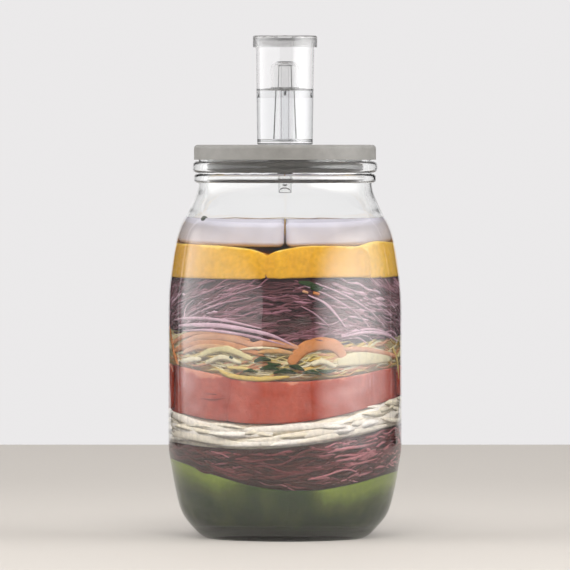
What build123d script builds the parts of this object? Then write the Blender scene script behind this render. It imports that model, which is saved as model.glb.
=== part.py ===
from build123d import *
import math
import os

# A fermentation jar with an airlock: a three litre glass jar, a silicone lid that plugs its
# mouth, a three-piece bubbler airlock pushed into the lid, two half-moon stones that hold the
# food under its brine, and the layers of cut vegetables in the brine.
# Sizes are in millimetres. The jar stands on z = 0, its axis is Z and its front faces -Y.

# Glass jar
body_radius = 73.25
body_wall = 4.0
foot_radius = 50.0
foot_width = 6.0
foot_slope = 30.0
punt_rise = 4.0
base_thickness = 6.0
heel_height = 61.0
straight_height = 80.0
shoulder_height = 81.0
neck_height = 20.6
neck_bore = 50.0
neck_wall = 4.5
rim_round = 1.9
bead_gap = 1.1
upper_bead_proud = 3.5
lower_bead_proud = 2.75
bead_spacing = 7.1

# Points between the ends of the heel and of the shoulder, as shares of the way out and up
heel_shares = ((0.292, 0.090), (0.688, 0.311), (0.955, 0.803))
shoulder_shares = ((0.075, 0.284), (0.340, 0.630), (0.761, 0.827))

# Silicone lid
lid_plate = 4.0
lid_seat_gap = 0.1
skirt_cover = 5.3
skirt_wall = 2.5
skirt_clearance = 0.15
lid_edge_round = 2.4
plug_depth = 12.8
plug_wall = 3.0
plug_inset = 1.4
rib_count = 3
rib_spacing = 3.6
rib_clearance = 0.05
collar_wall = 3.5

# Airlock body: a cup with a riser tube up its middle and a tapered stem below
stem_length = 30.0
stem_top_radius = 6.0
stem_tip_radius = 4.15
stem_clearance = 0.05
tube_bore = 2.4
cup_height = 66.7
cup_base_radius = 17.5
cup_top_radius = 18.4
cup_wall = 1.5
cup_floor = 2.0
cup_base_round = 1.2
riser_height = 48.7
riser_base_radius = 5.6
riser_top_radius = 4.0
airlock_seat_gap = 0.1

# Float bell and vented cap of the airlock
float_gap = 0.3
float_wall = 1.2
dome_radius = 9.0
dome_rise = 5.0
roof_overhang = 0.8
dome_length = 17.0
brim_radius = 13.6
brim_height = 5.6
notch_count = 4
notch_radius = 1.2
cap_radius = 20.2
cap_plate = 1.6
cap_cover = 5.6
cap_clearance = 0.1
cap_edge_round = 1.0
cap_lip_wall = 1.2
cap_lip_depth = 2.0
vent_count = 6
vent_radius = 1.0
vent_circle = 9.0
water_depth = 32.0

# Stones, brine and the layers of food
stone_thickness = 14.0
stone_travel = 12.0
stone_clearance = 1.4
stone_split = 0.7
stone_corner_round = 6.0
stone_edge_round = 3.0
contents_gap = 0.3
food_inset = 1.5
food_depth = 172.0
brine_cover = 3.1
layer_gap = 0.3

# Height of each layer's upper face at the left, the middle and the right of the jar, as shares
# of the depth of the food, from the bottom of the jar up
layer_shares = {
    "green_pepper_layer": (0.262, 0.134, 0.212),
    "beetroot_layer": (0.300, 0.285, 0.372),
    "white_cabbage_layer": (0.419, 0.371, 0.477),
    "red_pepper_layer": (0.594, 0.525, 0.586),
    "onion_herb_layer": (0.721, 0.645, 0.695),
    "red_cabbage_layer": (0.888, 0.893, 0.890),
    "orange_pepper_layer": (1.0, 1.0, 1.0),
}
no_shares = (0, 0, 0)

# Shredded layers show broad strands at the glass, which run round the jar a little aslant
shredded_layers = ("beetroot_layer", "white_cabbage_layer", "red_cabbage_layer")
strand_depth = 2.2
strand_height = 6.0
strand_spacing = 13.0
strand_slant = 2.2
strand_turn = 70.0

# The onion layer shows curved slices that stand on end against the glass, in degrees from the front
sliced_layer = "onion_herb_layer"
slice_depth = 4.5
slice_width = 7.0
slice_radii = (16.0, 24.0)
slice_count = 6
first_slice = 17.0
slice_pitch = -58.0
slice_centre_share = 0.55

# The pepper layers are slabs, with an upright gap between each two, in degrees from the front
slab_depth = 5.0
slab_gap = 1.6
slab_gaps = {
    "red_pepper_layer": (-74.0, -30.0, 74.0, 140.0, 204.0),
    "orange_pepper_layer": (-10.0, 46.0, 101.0, 166.0, 227.0),
}

overrun = 5.0

neck_radius = neck_bore + neck_wall
shoulder_start = heel_height + straight_height
neck_start = shoulder_start + shoulder_height
rim_height = neck_start + neck_height
floor_height = punt_rise + base_thickness
lid_bottom = rim_height + lid_seat_gap
lid_top = lid_bottom + lid_plate
lid_radius = neck_radius + skirt_clearance + skirt_wall
cup_base = lid_top + airlock_seat_gap
cup_top = cup_base + cup_height
riser_top = cup_base + cup_floor + riser_height
float_top = riser_top + float_gap + float_wall
brim_bottom = float_top - dome_length - brim_height
food_top = floor_height + food_depth
stone_bottom = food_top + layer_gap
brine_level = stone_bottom + stone_thickness + brine_cover


def turned(outline):
    """The solid that a closed outline of radius and height makes when it turns about Z."""
    return revolve(Plane.XZ * make_face(outline), axis=Axis.Z)


def between(start, end, shares):
    """Points on the way from start to end, each at its share of the way across and up."""
    return [
        (start[0] + across * (end[0] - start[0]), start[1] + up * (end[1] - start[1]))
        for across, up in shares
    ]


def bottle(foot, radius, neck, centre, low, top):
    """A solid bottle: a domed bottom in a flat ring, a heel, a side, a shoulder and a neck."""
    slope = math.radians(foot_slope)
    ring_inner = (foot - foot_width, low)
    heel_low, heel_high = (foot, low), (radius, heel_height)
    shoulder_low, shoulder_high = (radius, shoulder_start), (neck, neck_start)
    bottom = TangentArc((0, centre), ring_inner, tangent=(1, 0)) + Line(ring_inner, heel_low)
    heel = Spline(
        heel_low,
        *between(heel_low, heel_high, heel_shares),
        heel_high,
        tangents=((math.cos(slope), math.sin(slope)), (0, 1)),
    )
    shoulder = Spline(
        shoulder_low,
        *between(shoulder_low, shoulder_high, shoulder_shares),
        shoulder_high,
        tangents=((0, 1), (0, 1)),
    )
    straight = Line(heel_high, shoulder_low)
    rest = Polyline(shoulder_high, (neck, top), (0, top), (0, centre))
    return turned(bottom + heel + straight + shoulder + rest)


def jar_room(gap, top):
    """The space in the jar, kept a gap away from its glass, up to a height."""
    return bottle(
        foot_radius - body_wall - gap,
        body_radius - body_wall - gap,
        neck_bore - gap,
        floor_height + gap,
        base_thickness + gap,
        top,
    )


def ring(radius, height, thickness):
    """A round bead of a radius and half thickness that runs round the axis at a height."""
    return revolve(Plane.XZ * Pos(radius, height) * Circle(thickness), axis=Axis.Z)


def pattern(piece, count):
    """Copies of a piece, evenly spaced about the axis."""
    return [Rot(0, 0, step * 360 / count) * piece for step in range(count)]


def make_glass_jar():
    """The jar with its pushed-up bottom, its two neck beads and a rounded rim."""
    outside = bottle(foot_radius, body_radius, neck_radius, punt_rise, 0, rim_height)
    shell = outside - jar_room(0, rim_height + overrun)
    rim_edges = shell.edges().group_by(Axis.Z)[-1]
    shell = fillet(rim_edges, min(rim_round, neck_wall / 2.2))
    upper_height = rim_height - skirt_cover - bead_gap - upper_bead_proud
    shell += ring(neck_radius, upper_height, upper_bead_proud)
    return shell + ring(neck_radius, upper_height - bead_spacing, lower_bead_proud)


def stem_radius(height):
    """Radius of the airlock's stem at a height: it narrows evenly to its tip."""
    way_down = (cup_base - height) / (stem_length + airlock_seat_gap)
    return stem_top_radius + way_down * (stem_tip_radius - stem_top_radius)


def make_silicone_lid():
    """A disc with a skirt outside the rim, a ribbed plug inside it and a collar for the stem."""
    skirt_low = rim_height - skirt_cover
    skirt_inner = neck_radius + skirt_clearance
    plug_radius = neck_bore - plug_inset
    plug_low = lid_bottom - plug_depth
    pocket = plug_radius - plug_wall
    bore_high = stem_radius(lid_top) + stem_clearance
    bore_low = stem_radius(plug_low) + stem_clearance
    collar = bore_high + collar_wall
    outline = Polyline(
        (bore_high, lid_top),
        (lid_radius, lid_top),
        (lid_radius, skirt_low),
        (skirt_inner, skirt_low),
        (skirt_inner, lid_bottom),
        (plug_radius, lid_bottom),
        (plug_radius, plug_low),
        (pocket, plug_low),
        (pocket, lid_bottom),
        (collar, lid_bottom),
        (collar, plug_low),
        (bore_low, plug_low),
        (bore_high, lid_top),
    )
    lid = turned(outline)
    top_edge = lid.edges().group_by(Axis.Z)[-1].sort_by(SortBy.LENGTH)[-1]
    lid = fillet(top_edge, min(lid_edge_round, skirt_wall / 1.04))
    rib_proud = plug_inset - rib_clearance
    for step in range(rib_count):
        lid += ring(plug_radius, plug_low + rib_proud + step * rib_spacing, rib_proud)
    return lid


def make_airlock_body():
    """The clear cup with its riser tube and the stem, one moulding with one bore through it."""
    floor_line = cup_base + cup_floor
    stem_tip = cup_base - airlock_seat_gap - stem_length
    outline = Polyline(
        (tube_bore, stem_tip),
        (stem_tip_radius, stem_tip),
        (stem_top_radius, cup_base),
        (cup_base_radius, cup_base),
        (cup_top_radius, cup_top),
        (cup_top_radius - cup_wall, cup_top),
        (cup_base_radius - cup_wall, floor_line),
        (riser_base_radius, floor_line),
        (riser_top_radius, riser_top),
        (tube_bore, riser_top),
        (tube_bore, stem_tip),
    )
    cup = turned(outline)
    base_edges = cup.edges().filter_by_position(Axis.Z, cup_base, cup_base)
    return fillet(base_edges.sort_by(SortBy.LENGTH)[-1], cup_base_round)


def bell_outline(inset, low):
    """Side of the float bell, moved in by the inset: roof, tube and brim, down to a height."""
    top = float_top - inset
    roof = riser_top_radius + roof_overhang
    tube, brim = dome_radius - inset, brim_radius - inset
    step = brim_bottom + brim_height - inset
    dome = Line((0, top), (roof, top))
    dome += Spline((roof, top), (tube, float_top - dome_rise), tangents=((1, 0), (0, -1)))
    side = Polyline(
        (tube, float_top - dome_rise),
        (tube, step),
        (brim, step),
        (brim, low),
        (0, low),
        (0, top),
    )
    return dome + side


def make_airlock_float():
    """A bell that stands over the riser, with notches in its brim where the gas gets out."""
    bell = turned(bell_outline(0, brim_bottom))
    bell -= turned(bell_outline(float_wall, brim_bottom - overrun))
    notch = Pos(brim_radius, 0, brim_bottom) * Rot(0, 90, 0)
    notch *= Cylinder(notch_radius, 2 * overrun)
    return bell - pattern(notch, notch_count)


def make_airlock_cap():
    """A snap cap with a ring of vents, a skirt outside the cup and a lip inside it."""
    under = cup_top + airlock_seat_gap
    top = under + cap_plate
    skirt_inner = cup_top_radius + cap_clearance
    lip_outer = cup_top_radius - cup_wall - cap_clearance
    lip_inner = lip_outer - cap_lip_wall
    outline = Polyline(
        (0, top),
        (cap_radius, top),
        (cap_radius, cup_top - cap_cover),
        (skirt_inner, cup_top - cap_cover),
        (skirt_inner, under),
        (lip_outer, under),
        (lip_outer, under - cap_lip_depth),
        (lip_inner, under - cap_lip_depth),
        (lip_inner, under),
        (0, under),
        (0, top),
    )
    cap = turned(outline)
    cap = fillet(cap.edges().group_by(Axis.Z)[-1], cap_edge_round)
    vent = Pos(vent_circle, 0, top) * Cylinder(vent_radius, 4 * cap_plate)
    return cap - pattern(vent, vent_count)


def make_airlock_water():
    """Water in the cup, clear of the riser and of the way that the float goes up."""
    low = cup_base + cup_floor + contents_gap
    high = low + water_depth
    under_float = brim_bottom - float_gap

    def cup_side(height):
        share = (height - cup_base - cup_floor) / (cup_height - cup_floor)
        inner = cup_base_radius + share * (cup_top_radius - cup_base_radius)
        return inner - cup_wall - contents_gap

    def riser_side(height):
        share = (height - cup_base - cup_floor) / riser_height
        return riser_base_radius + share * (riser_top_radius - riser_base_radius) + contents_gap

    outline = Polyline(
        (riser_side(low), low),
        (cup_side(low), low),
        (cup_side(high), high),
        (brim_radius + float_gap, high),
        (brim_radius + float_gap, under_float),
        (riser_side(under_float), under_float),
        (riser_side(low), low),
    )
    return turned(outline)


def room_radius(height):
    """How far the jar's room reaches from the axis at a height."""
    level = section(jar_room(0, rim_height), Plane.XY.offset(height))
    return level.bounding_box().max.X


def half_moon(side, growth, thickness):
    """One half-moon on z = 0, as wide as can still lift; side is -1 for left, 1 for right."""
    highest = stone_bottom + stone_thickness + stone_travel
    radius = room_radius(highest) - stone_clearance + growth
    flat = stone_split / 2 - growth
    disc = Circle(radius)
    keep = Pos(side * (flat + radius), 0) * Rectangle(2 * radius, 2 * radius)
    return extrude(disc & keep, thickness)


def make_stone(side):
    """A half-moon stone with rounded corners and edges, lying on the top layer of food."""
    slab = half_moon(side, 0, stone_thickness)
    slab = fillet(slab.edges().filter_by(Axis.Z), stone_corner_round)
    faces = slab.faces().filter_by(Axis.Z)
    slab = fillet(faces.edges(), min(stone_edge_round, stone_thickness / 2.2))
    return Pos(0, 0, stone_bottom) * slab


def up_to(height, solid):
    """The part of a solid that lies below a height."""
    return split(solid, Plane.XY.offset(height), keep=Keep.BOTTOM)


def make_brine():
    """The brine round and over the food, open where the stones lie and where they lift out."""
    liquid = up_to(brine_level, jar_room(contents_gap, rim_height))
    food_room = jar_room(food_inset - layer_gap, rim_height)
    brine = liquid - up_to(food_top + layer_gap, food_room)
    for side in (-1, 1):
        pocket = half_moon(side, contents_gap, stone_thickness + brine_cover + overrun)
        brine -= Pos(0, 0, food_top + layer_gap) * pocket
    return brine


def round_food(depth):
    """All that lies further out than a depth into the food, round the jar."""
    return Cylinder(2 * body_radius, 2 * rim_height) - jar_room(food_inset + depth, rim_height)


def strand_grooves(under_shares, over_shares):
    """Slanted grooves round a shredded layer, which leave broad strands between them."""
    low = floor_height + min(under_shares) * food_depth
    high = floor_height + max(over_shares) * food_depth
    count = math.ceil((high - low) / strand_spacing)
    pitch = (high - low) / count
    outside = round_food(strand_depth)
    grooves = []
    for step in range(count):
        slant = strand_slant if step % 2 else -strand_slant
        place = Pos(0, 0, low + (step + 1 / 2) * pitch) * Rot(0, 0, step * strand_turn)
        disc = place * Rot(0, slant, 0) * Cylinder(2 * body_radius, pitch - strand_height)
        grooves.append(outside & disc)
    return grooves


def slice_pockets():
    """The space round the curved slices of a layer: each slice is a part of a ring."""
    centre = floor_height + slice_centre_share * food_depth
    pockets = round_food(slice_depth)
    for step in range(slice_count):
        radius = slice_radii[step % len(slice_radii)]
        hoop = Cylinder(radius, body_radius) - Cylinder(radius - slice_width, body_radius)
        outward = Rot(0, 0, first_slice + step * slice_pitch) * Pos(0, -body_radius, centre)
        pockets -= outward * Rot(90, 0, 0) * hoop
    return [pockets]


def slab_slots(angles):
    """Upright gaps round the jar at the given angles, between the slabs of a layer."""
    middle = body_radius - body_wall - food_inset - slab_depth + body_radius / 2
    slot = Pos(0, -middle, rim_height / 2) * Box(slab_gap, body_radius, rim_height)
    return [Rot(0, 0, angle) * slot for angle in angles]


def cuts_of_layer(name, under_shares, over_shares):
    """What the cut of its vegetable takes away from a layer at the glass."""
    if name in shredded_layers:
        return strand_grooves(under_shares, over_shares)
    if name == sliced_layer:
        return slice_pockets()
    return slab_slots(slab_gaps.get(name, ()))


def layer_line(shares, drop):
    """A wavy line across the jar, through a layer's height at the left, middle and right."""
    left, middle, right = (floor_height + share * food_depth - drop for share in shares)
    return Spline((-body_radius, left), (0, middle), (body_radius, right))


def make_layer(name, under_shares, over_shares):
    """One layer of food: the room in the jar between two wavy surfaces, less its cuts."""
    top = layer_line(over_shares, 0)
    if under_shares is None:
        low_left, low_right = (-body_radius, 0), (body_radius, 0)
        bottom = Line(low_left, low_right)
    else:
        bottom = layer_line(under_shares, -layer_gap)
        low_left, low_right = bottom @ 0, bottom @ 1
    sides = Line(low_left, top @ 0) + Line(low_right, top @ 1)
    section = Plane.XZ * make_face(top + bottom + sides)
    band = extrude(section, body_radius, both=True)
    layer = jar_room(food_inset, rim_height) & band
    for cut in cuts_of_layer(name, under_shares or no_shares, over_shares):
        layer -= cut
    return layer


nodes = {
    "glass_jar": make_glass_jar(),
    "silicone_lid": make_silicone_lid(),
    "airlock_body": make_airlock_body(),
    "airlock_float": make_airlock_float(),
    "airlock_cap": make_airlock_cap(),
    "airlock_water": make_airlock_water(),
    "ceramic_stone_left": make_stone(-1),
    "ceramic_stone_right": make_stone(1),
    "brine": make_brine(),
}
under = None
for name, shares in layer_shares.items():
    nodes[name] = make_layer(name, under, shares)
    under = shares

os.makedirs("parts", exist_ok=True)
for name, piece in nodes.items():
    export_step(piece, f"parts/{name}.step")
    size = piece.bounding_box().size
    print(f"{name}: {size.X:.1f} x {size.Y:.1f} x {size.Z:.1f} mm, {piece.volume / 1000:.1f} ml")

litres = jar_room(0, rim_height).volume / 1e6
print(f"room in the jar up to its rim: {litres:.2f} litres")
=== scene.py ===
# %% [markdown]
# # A fermentation jar with a water airlock
# The jar is blown glass, closed by a grey silicone lid, with a clear airlock pushed through it.
# Layers of cut vegetables fill it, two half-moon stones hold them down, and brine covers all.
# The construction model gives every size and every moving body. This lesson gives each piece
# its finish: thick clear glass, liquid that touches it, and food that reads as cut vegetables.
# Each cell that makes something is short, and prints what it made.

# %% Load the construction model
import math

import bmesh
import bpy
import numpy as np
from mathutils import Matrix, Vector


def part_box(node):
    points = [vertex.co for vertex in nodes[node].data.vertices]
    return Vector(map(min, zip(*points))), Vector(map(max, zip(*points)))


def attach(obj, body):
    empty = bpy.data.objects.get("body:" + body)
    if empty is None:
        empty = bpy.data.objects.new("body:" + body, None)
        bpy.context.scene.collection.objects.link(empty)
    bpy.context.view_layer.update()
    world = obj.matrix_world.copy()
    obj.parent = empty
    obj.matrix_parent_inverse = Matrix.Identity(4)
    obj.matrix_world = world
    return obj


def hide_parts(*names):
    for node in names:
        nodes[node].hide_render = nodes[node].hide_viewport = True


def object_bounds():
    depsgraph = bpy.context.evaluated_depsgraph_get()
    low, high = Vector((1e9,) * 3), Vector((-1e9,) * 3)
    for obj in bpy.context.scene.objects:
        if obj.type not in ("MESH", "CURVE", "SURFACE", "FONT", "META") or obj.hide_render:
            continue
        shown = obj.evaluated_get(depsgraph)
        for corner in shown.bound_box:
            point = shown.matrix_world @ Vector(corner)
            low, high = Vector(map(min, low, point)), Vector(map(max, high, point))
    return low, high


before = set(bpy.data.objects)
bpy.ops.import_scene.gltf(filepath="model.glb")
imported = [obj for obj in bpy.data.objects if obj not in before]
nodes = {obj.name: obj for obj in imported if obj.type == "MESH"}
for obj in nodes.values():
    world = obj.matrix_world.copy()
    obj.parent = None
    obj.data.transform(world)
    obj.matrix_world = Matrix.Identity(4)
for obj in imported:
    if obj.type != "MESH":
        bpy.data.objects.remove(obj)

cad_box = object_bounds()
scene = bpy.context.scene
scene.view_settings.view_transform = "Standard"
print("construction model", [round(v, 4) for corner in cad_box for v in corner])

# %% [markdown]
# ## The camera
# The picture was taken with a long lens, a few metres away, with the eye at the height of the
# lid: the lid shows as a flat band, and the foot of the jar as a shallow curve. A constraint could
# aim the camera, but a turn that is worked out once is simpler and stays the same.

# %% Set the camera
eye_distance = 4.4
eye_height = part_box("silicone_lid")[1].z
picture_height = 0.358
aim = Vector((0, 0, cad_box[1].z / 2 + 0.001))

lens_data = bpy.data.cameras.new("long_lens")
camera = bpy.data.objects.new("camera", lens_data)
scene.collection.objects.link(camera)
camera.location = (0, -eye_distance, eye_height)
camera.rotation_mode = "QUATERNION"
camera.rotation_quaternion = (aim - camera.location).to_track_quat("-Z", "Y")
lens_data.lens = lens_data.sensor_width * eye_distance / picture_height
lens_data.clip_end = 100
scene.camera = camera
print("lens", round(lens_data.lens), "mm")

# %% [markdown]
# ## Turning a profile
# The jar, its liquids and the airlock are all round. A Screw modifier could turn a profile about
# the axis, but it leaves a seam and an open pole. This helper closes both: the last step shares the
# first step's points, and a point on the axis becomes one vertex for all steps.

# %% A helper that turns a profile
MM = 0.001


def object_from(name, mesh):
    """An object for a mesh, put in the scene at the origin."""
    piece = bpy.data.objects.new(name, mesh)
    scene.collection.objects.link(piece)
    return piece


def piece_from(name, points, faces, smooth=True):
    """A mesh object from points and faces, with its faces turned outwards."""
    mesh = bpy.data.meshes.new(name)
    mesh.from_pydata([tuple(p) for p in points], [], faces)
    shell = bmesh.new()
    shell.from_mesh(mesh)
    bmesh.ops.recalc_face_normals(shell, faces=shell.faces)
    shell.to_mesh(mesh)
    shell.free()
    mesh.polygons.foreach_set("use_smooth", [smooth] * len(mesh.polygons))
    return object_from(name, mesh)


def even_normals(piece, sharp=40):
    """Smooth shading that keeps sharp corners and leaves wide faces true."""
    piece.data.set_sharp_from_angle(angle=math.radians(sharp))
    weigh = piece.modifiers.new("even_normals", "WEIGHTED_NORMAL")
    weigh.weight, weigh.keep_sharp = 100, True
    graph = bpy.context.evaluated_depsgraph_get()
    piece.data = bpy.data.meshes.new_from_object(piece.evaluated_get(graph))
    piece.modifiers.clear()
    return piece


def turned(name, profile, steps=192):
    """A round piece from a closed profile of (radius, height) in metres, which may meet the axis."""
    points, rows = [], []
    for radius, height in profile:
        if radius < 1e-7:
            rows.append([len(points)] * steps)
            points.append((0, 0, height))
            continue
        rows.append(list(range(len(points), len(points) + steps)))
        turns = [2 * math.pi * step / steps for step in range(steps)]
        points += [(radius * math.sin(a), -radius * math.cos(a), height) for a in turns]
    faces = []
    for row, above in zip(rows, rows[1:] + rows[:1]):
        for step in range(steps):
            after = (step + 1) % steps
            corners = [row[step], row[after], above[after], above[step]]
            face = list(dict.fromkeys(corners))
            if len(face) > 2:
                faces.append(face)
    return even_normals(piece_from(name, points, faces))


print("a round piece is turned in", turned.__defaults__[0], "steps unless it asks for more")

# %% [markdown]
# ## Rounded corners and flowing sides
# A moulded edge is never sharp, and the side of a blown jar has no corners at all. Beziers could
# give both. Two small functions on lists of points do the same and can be measured as they go.

# %% Helpers that shape a profile


def rounded(profile, radii, steps=5):
    """A closed profile with its corners rounded, each by its own radius, by short curves."""
    out = []
    count = len(profile)
    for here in range(count):
        corner = Vector(profile[here])
        radius = radii[here]
        if radius == 0:
            out.append(tuple(corner))
            continue
        before = Vector(profile[here - 1]) - corner
        after = Vector(profile[(here + 1) % count]) - corner
        start = corner + before.normalized() * min(radius, before.length * 0.45)
        end = corner + after.normalized() * min(radius, after.length * 0.45)
        for step in range(steps + 1):
            t = step / steps
            out.append(tuple(start * (1 - t) ** 2 + corner * 2 * t * (1 - t) + end * t * t))
    return out


def flowing(points, first, last, steps=8):
    """Points on a smooth curve through the given ones, with a direction at each end."""
    spots = [Vector(p) for p in points]
    ways = [(b - a) / 2 for a, b in zip(spots, spots[2:])]
    first_way = Vector(first).normalized() * (spots[1] - spots[0]).length
    last_way = Vector(last).normalized() * (spots[-1] - spots[-2]).length
    ways = [first_way, *ways, last_way]
    out = []
    for a, b, go, come in zip(spots, spots[1:], ways, ways[1:]):
        for step in range(steps):
            t = step / steps
            out.append(tuple(
                a * (2 * t**3 - 3 * t**2 + 1) + go * (t**3 - 2 * t**2 + t)
                + b * (3 * t**2 - 2 * t**3) + come * (t**3 - t**2)
            ))
    return out + [tuple(spots[-1])]


print("profile helpers ready")

# %% [markdown]
# ## The shape of the jar
# The outside of the jar goes from a flat foot ring through a round heel to a straight side, and
# over a shoulder to the neck. The inside is the same curve, one wall thickness further in. Both
# come from one function, so the wall stays even, and the food can follow the same inside curve.

# %% The side of the jar as a curve
glass_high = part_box("glass_jar")[1]
body_radius = glass_high.x
body_wall, neck_wall = 4.0 * MM, 4.5 * MM
foot_radius, foot_width, foot_slope = 50.0 * MM, 6.0 * MM, math.radians(30)
punt_rise, base_thickness = 4.0 * MM, 6.0 * MM
heel_height, shoulder_start = 61.0 * MM, 141.0 * MM
neck_start, rim_height = 222.0 * MM, glass_high.z
neck_bore = 50.0 * MM
heel_shares = ((0.292, 0.090), (0.688, 0.311), (0.955, 0.803))
shoulder_shares = ((0.075, 0.284), (0.340, 0.630), (0.761, 0.827))
upper_bead, upper_proud = 232.7 * MM, 3.5 * MM
lower_bead, lower_proud = 225.6 * MM, 2.75 * MM


def between(start, end, shares):
    """Points at shares of the way across and up from start to end."""
    return [
        (start[0] + across * (end[0] - start[0]), start[1] + up * (end[1] - start[1]))
        for across, up in shares
    ]


def side_curve(foot, radius, neck, low):
    """The side of the jar from the foot up to the start of the neck."""
    heel_ends = (foot, low), (radius, heel_height)
    shoulder_ends = (radius, shoulder_start), (neck, neck_start)
    slope = (math.cos(foot_slope), math.sin(foot_slope))
    heel = flowing([heel_ends[0], *between(*heel_ends, heel_shares), heel_ends[1]], slope, (0, 1))
    shoulder = flowing(
        [shoulder_ends[0], *between(*shoulder_ends, shoulder_shares), shoulder_ends[1]],
        (0, 1), (0, 1),
    )
    return heel + shoulder


def bottom_curve(foot, low, centre, steps=12):
    """The domed bottom from the axis out to the flat ring that the foot stands on."""
    edge = foot - foot_width
    ways = [step / steps for step in range(steps + 1)]
    return [(edge * t, low + (centre - low) * (1 - t * t)) for t in ways]


def room_curve(gap):
    """The inside of the jar from the middle of its floor to the top of the neck."""
    foot = foot_radius - body_wall - gap
    floor = bottom_curve(foot, base_thickness + gap, punt_rise + base_thickness + gap)
    wall = side_curve(foot, body_radius - body_wall - gap, neck_bore - gap, base_thickness + gap)
    return floor + wall


inside = room_curve(0)
print("room in the jar:", len(inside), "points, widest", round(max(r for r, z in inside), 4))

# %% [markdown]
# ## Thick clear glass
# Glass is a closed wall with an outer and an inner face, and light bends at both. Lamps would
# light the food only by chance through two bent faces, so for shadow rays the glass lets light
# straight through, tinted a little, which is what a thick clear jar does to soft light. Where one
# clear thing touches another, light bends by the ratio of the two, so wet plastic has its own.

# %% Node helpers and clear materials


def new_material(name):
    """An empty node material, with its tree and its output node."""
    material = bpy.data.materials.new(name)
    material.use_nodes = True
    tree = material.node_tree
    tree.nodes.clear()
    return material, tree, tree.nodes.new("ShaderNodeOutputMaterial")


def add(tree, kind, inputs=None, **settings):
    """A node with its settings, and with a value or a link for each named or numbered input."""
    made = tree.nodes.new(kind)
    for key, value in settings.items():
        setattr(made, key, value)
    for key, value in (inputs or {}).items():
        if isinstance(value, bpy.types.NodeSocket):
            tree.links.new(value, made.inputs[key])
        else:
            made.inputs[key].default_value = value
    return made


def clear_material(name, tint, ior, roughness=0.0, waves=0.0, wave_size=60.0):
    """A clear solid or liquid that bends light, lets lamps through and may have wavy faces."""
    material, tree, output = new_material(name)
    body = add(tree, "ShaderNodeBsdfGlass", {"Color": (*tint, 1), "Roughness": roughness, "IOR": ior})
    if waves:
        place = add(tree, "ShaderNodeTexCoord")
        swell = add(tree, "ShaderNodeTexNoise", {
            "Vector": place.outputs["Object"], "Scale": wave_size, "Detail": 1.0,
        })
        bump = add(tree, "ShaderNodeBump", {
            "Height": swell.outputs["Fac"], "Distance": waves, "Strength": 1.0,
        })
        tree.links.new(bump.outputs["Normal"], body.inputs["Normal"])
    lit = add(tree, "ShaderNodeBsdfTransparent", {"Color": (*[part**0.5 for part in tint], 1)})
    rays = add(tree, "ShaderNodeLightPath")
    mix = add(tree, "ShaderNodeMixShader", {
        0: rays.outputs["Is Shadow Ray"], 1: body.outputs[0], 2: lit.outputs[0],
    })
    tree.links.new(mix.outputs[0], output.inputs["Surface"])
    return material


glass_bend, plastic_bend, water_bend = 1.5, 1.49, 1.333
jar_glass = clear_material("jar_glass", (0.995, 0.998, 0.996), glass_bend, waves=0.0004, wave_size=45.0)
airlock_plastic = clear_material("airlock_plastic", (0.985, 0.985, 0.985), plastic_bend, roughness=0.02)
cap_plastic = clear_material("cap_plastic", (0.98, 0.98, 0.98), plastic_bend, roughness=0.22)
wet_plastic = clear_material(
    "wet_plastic", (0.985, 0.985, 0.985), plastic_bend / water_bend, roughness=0.02,
)
brine_liquid = clear_material("brine_liquid", (0.975, 0.965, 0.98), water_bend)
airlock_liquid = clear_material("airlock_liquid", (0.99, 0.995, 1.0), water_bend)
print("clear materials made")

# %% [markdown]
# ## A tube inside three walls
# The airlock's riser stands in water, in a bell, in a cup. Light that bends at every face would
# run out of bounces there and the tube would turn black. Its faces shine at the edges, as clear
# plastic does, and let the rest of the light straight through.

# %% The riser's faces


def thin_wall(name, ior):
    """A clear face that shines at its edges and bends no light."""
    material, tree, output = new_material(name)
    edge_light = add(tree, "ShaderNodeFresnel", {"IOR": ior})
    clear = add(tree, "ShaderNodeBsdfTransparent", {"Color": (0.99, 0.99, 0.99, 1)})
    shine = add(tree, "ShaderNodeBsdfAnisotropic", {"Roughness": 0.05})
    mix = add(tree, "ShaderNodeMixShader", {
        0: edge_light.outputs[0], 1: clear.outputs[0], 2: shine.outputs[0],
    })
    tree.links.new(mix.outputs[0], output.inputs["Surface"])
    return material


wetted_wall = thin_wall("wetted_wall", plastic_bend / water_bend)
dry_wall = thin_wall("dry_wall", 1.13)
print("riser's faces:", wetted_wall.name, "and", dry_wall.name)

# %% [markdown]
# ## The glass jar
# The wall is one closed profile: out along the bottom, up the side, over two ring beads and the
# rounded rim, and down the inside. A copy of the construction solid could be smoothed instead,
# but its facets would show in the light that passes through, so the wall is turned again.

# %% Make the glass jar
rim_steps = 12


def bead(height, proud, radius, steps=16, flatness=0.45):
    """A ring on the neck with a slightly flattened face, from its lower to its upper edge."""
    turns = [math.pi * (step / steps - 0.5) for step in range(steps + 1)]
    return [
        (radius + proud * abs(math.cos(a)) ** flatness, height + proud * math.sin(a)) for a in turns
    ]


def make_glass_jar():
    """The jar's outer and inner face as one closed wall."""
    neck = neck_bore + neck_wall
    outer = bottom_curve(foot_radius, 0, punt_rise)
    outer += side_curve(foot_radius, body_radius, neck, 0)
    outer += bead(lower_bead, lower_proud, neck) + bead(upper_bead, upper_proud, neck)
    middle, half = neck_bore + neck_wall / 2, neck_wall / 2
    rim = [(neck, rim_height - half)]
    turns = [math.pi * step / rim_steps for step in range(rim_steps + 1)]
    rim += [(middle + half * math.cos(a), rim_height - half + half * math.sin(a)) for a in turns]
    profile = outer + rim + inside[::-1]
    jar = turned("glass_jar_wall", profile, 256)
    jar.data.materials.append(jar_glass)
    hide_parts("glass_jar")
    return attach(jar, "jar")


glass_jar = make_glass_jar()
print("glass jar:", len(glass_jar.data.polygons), "faces")

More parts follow.
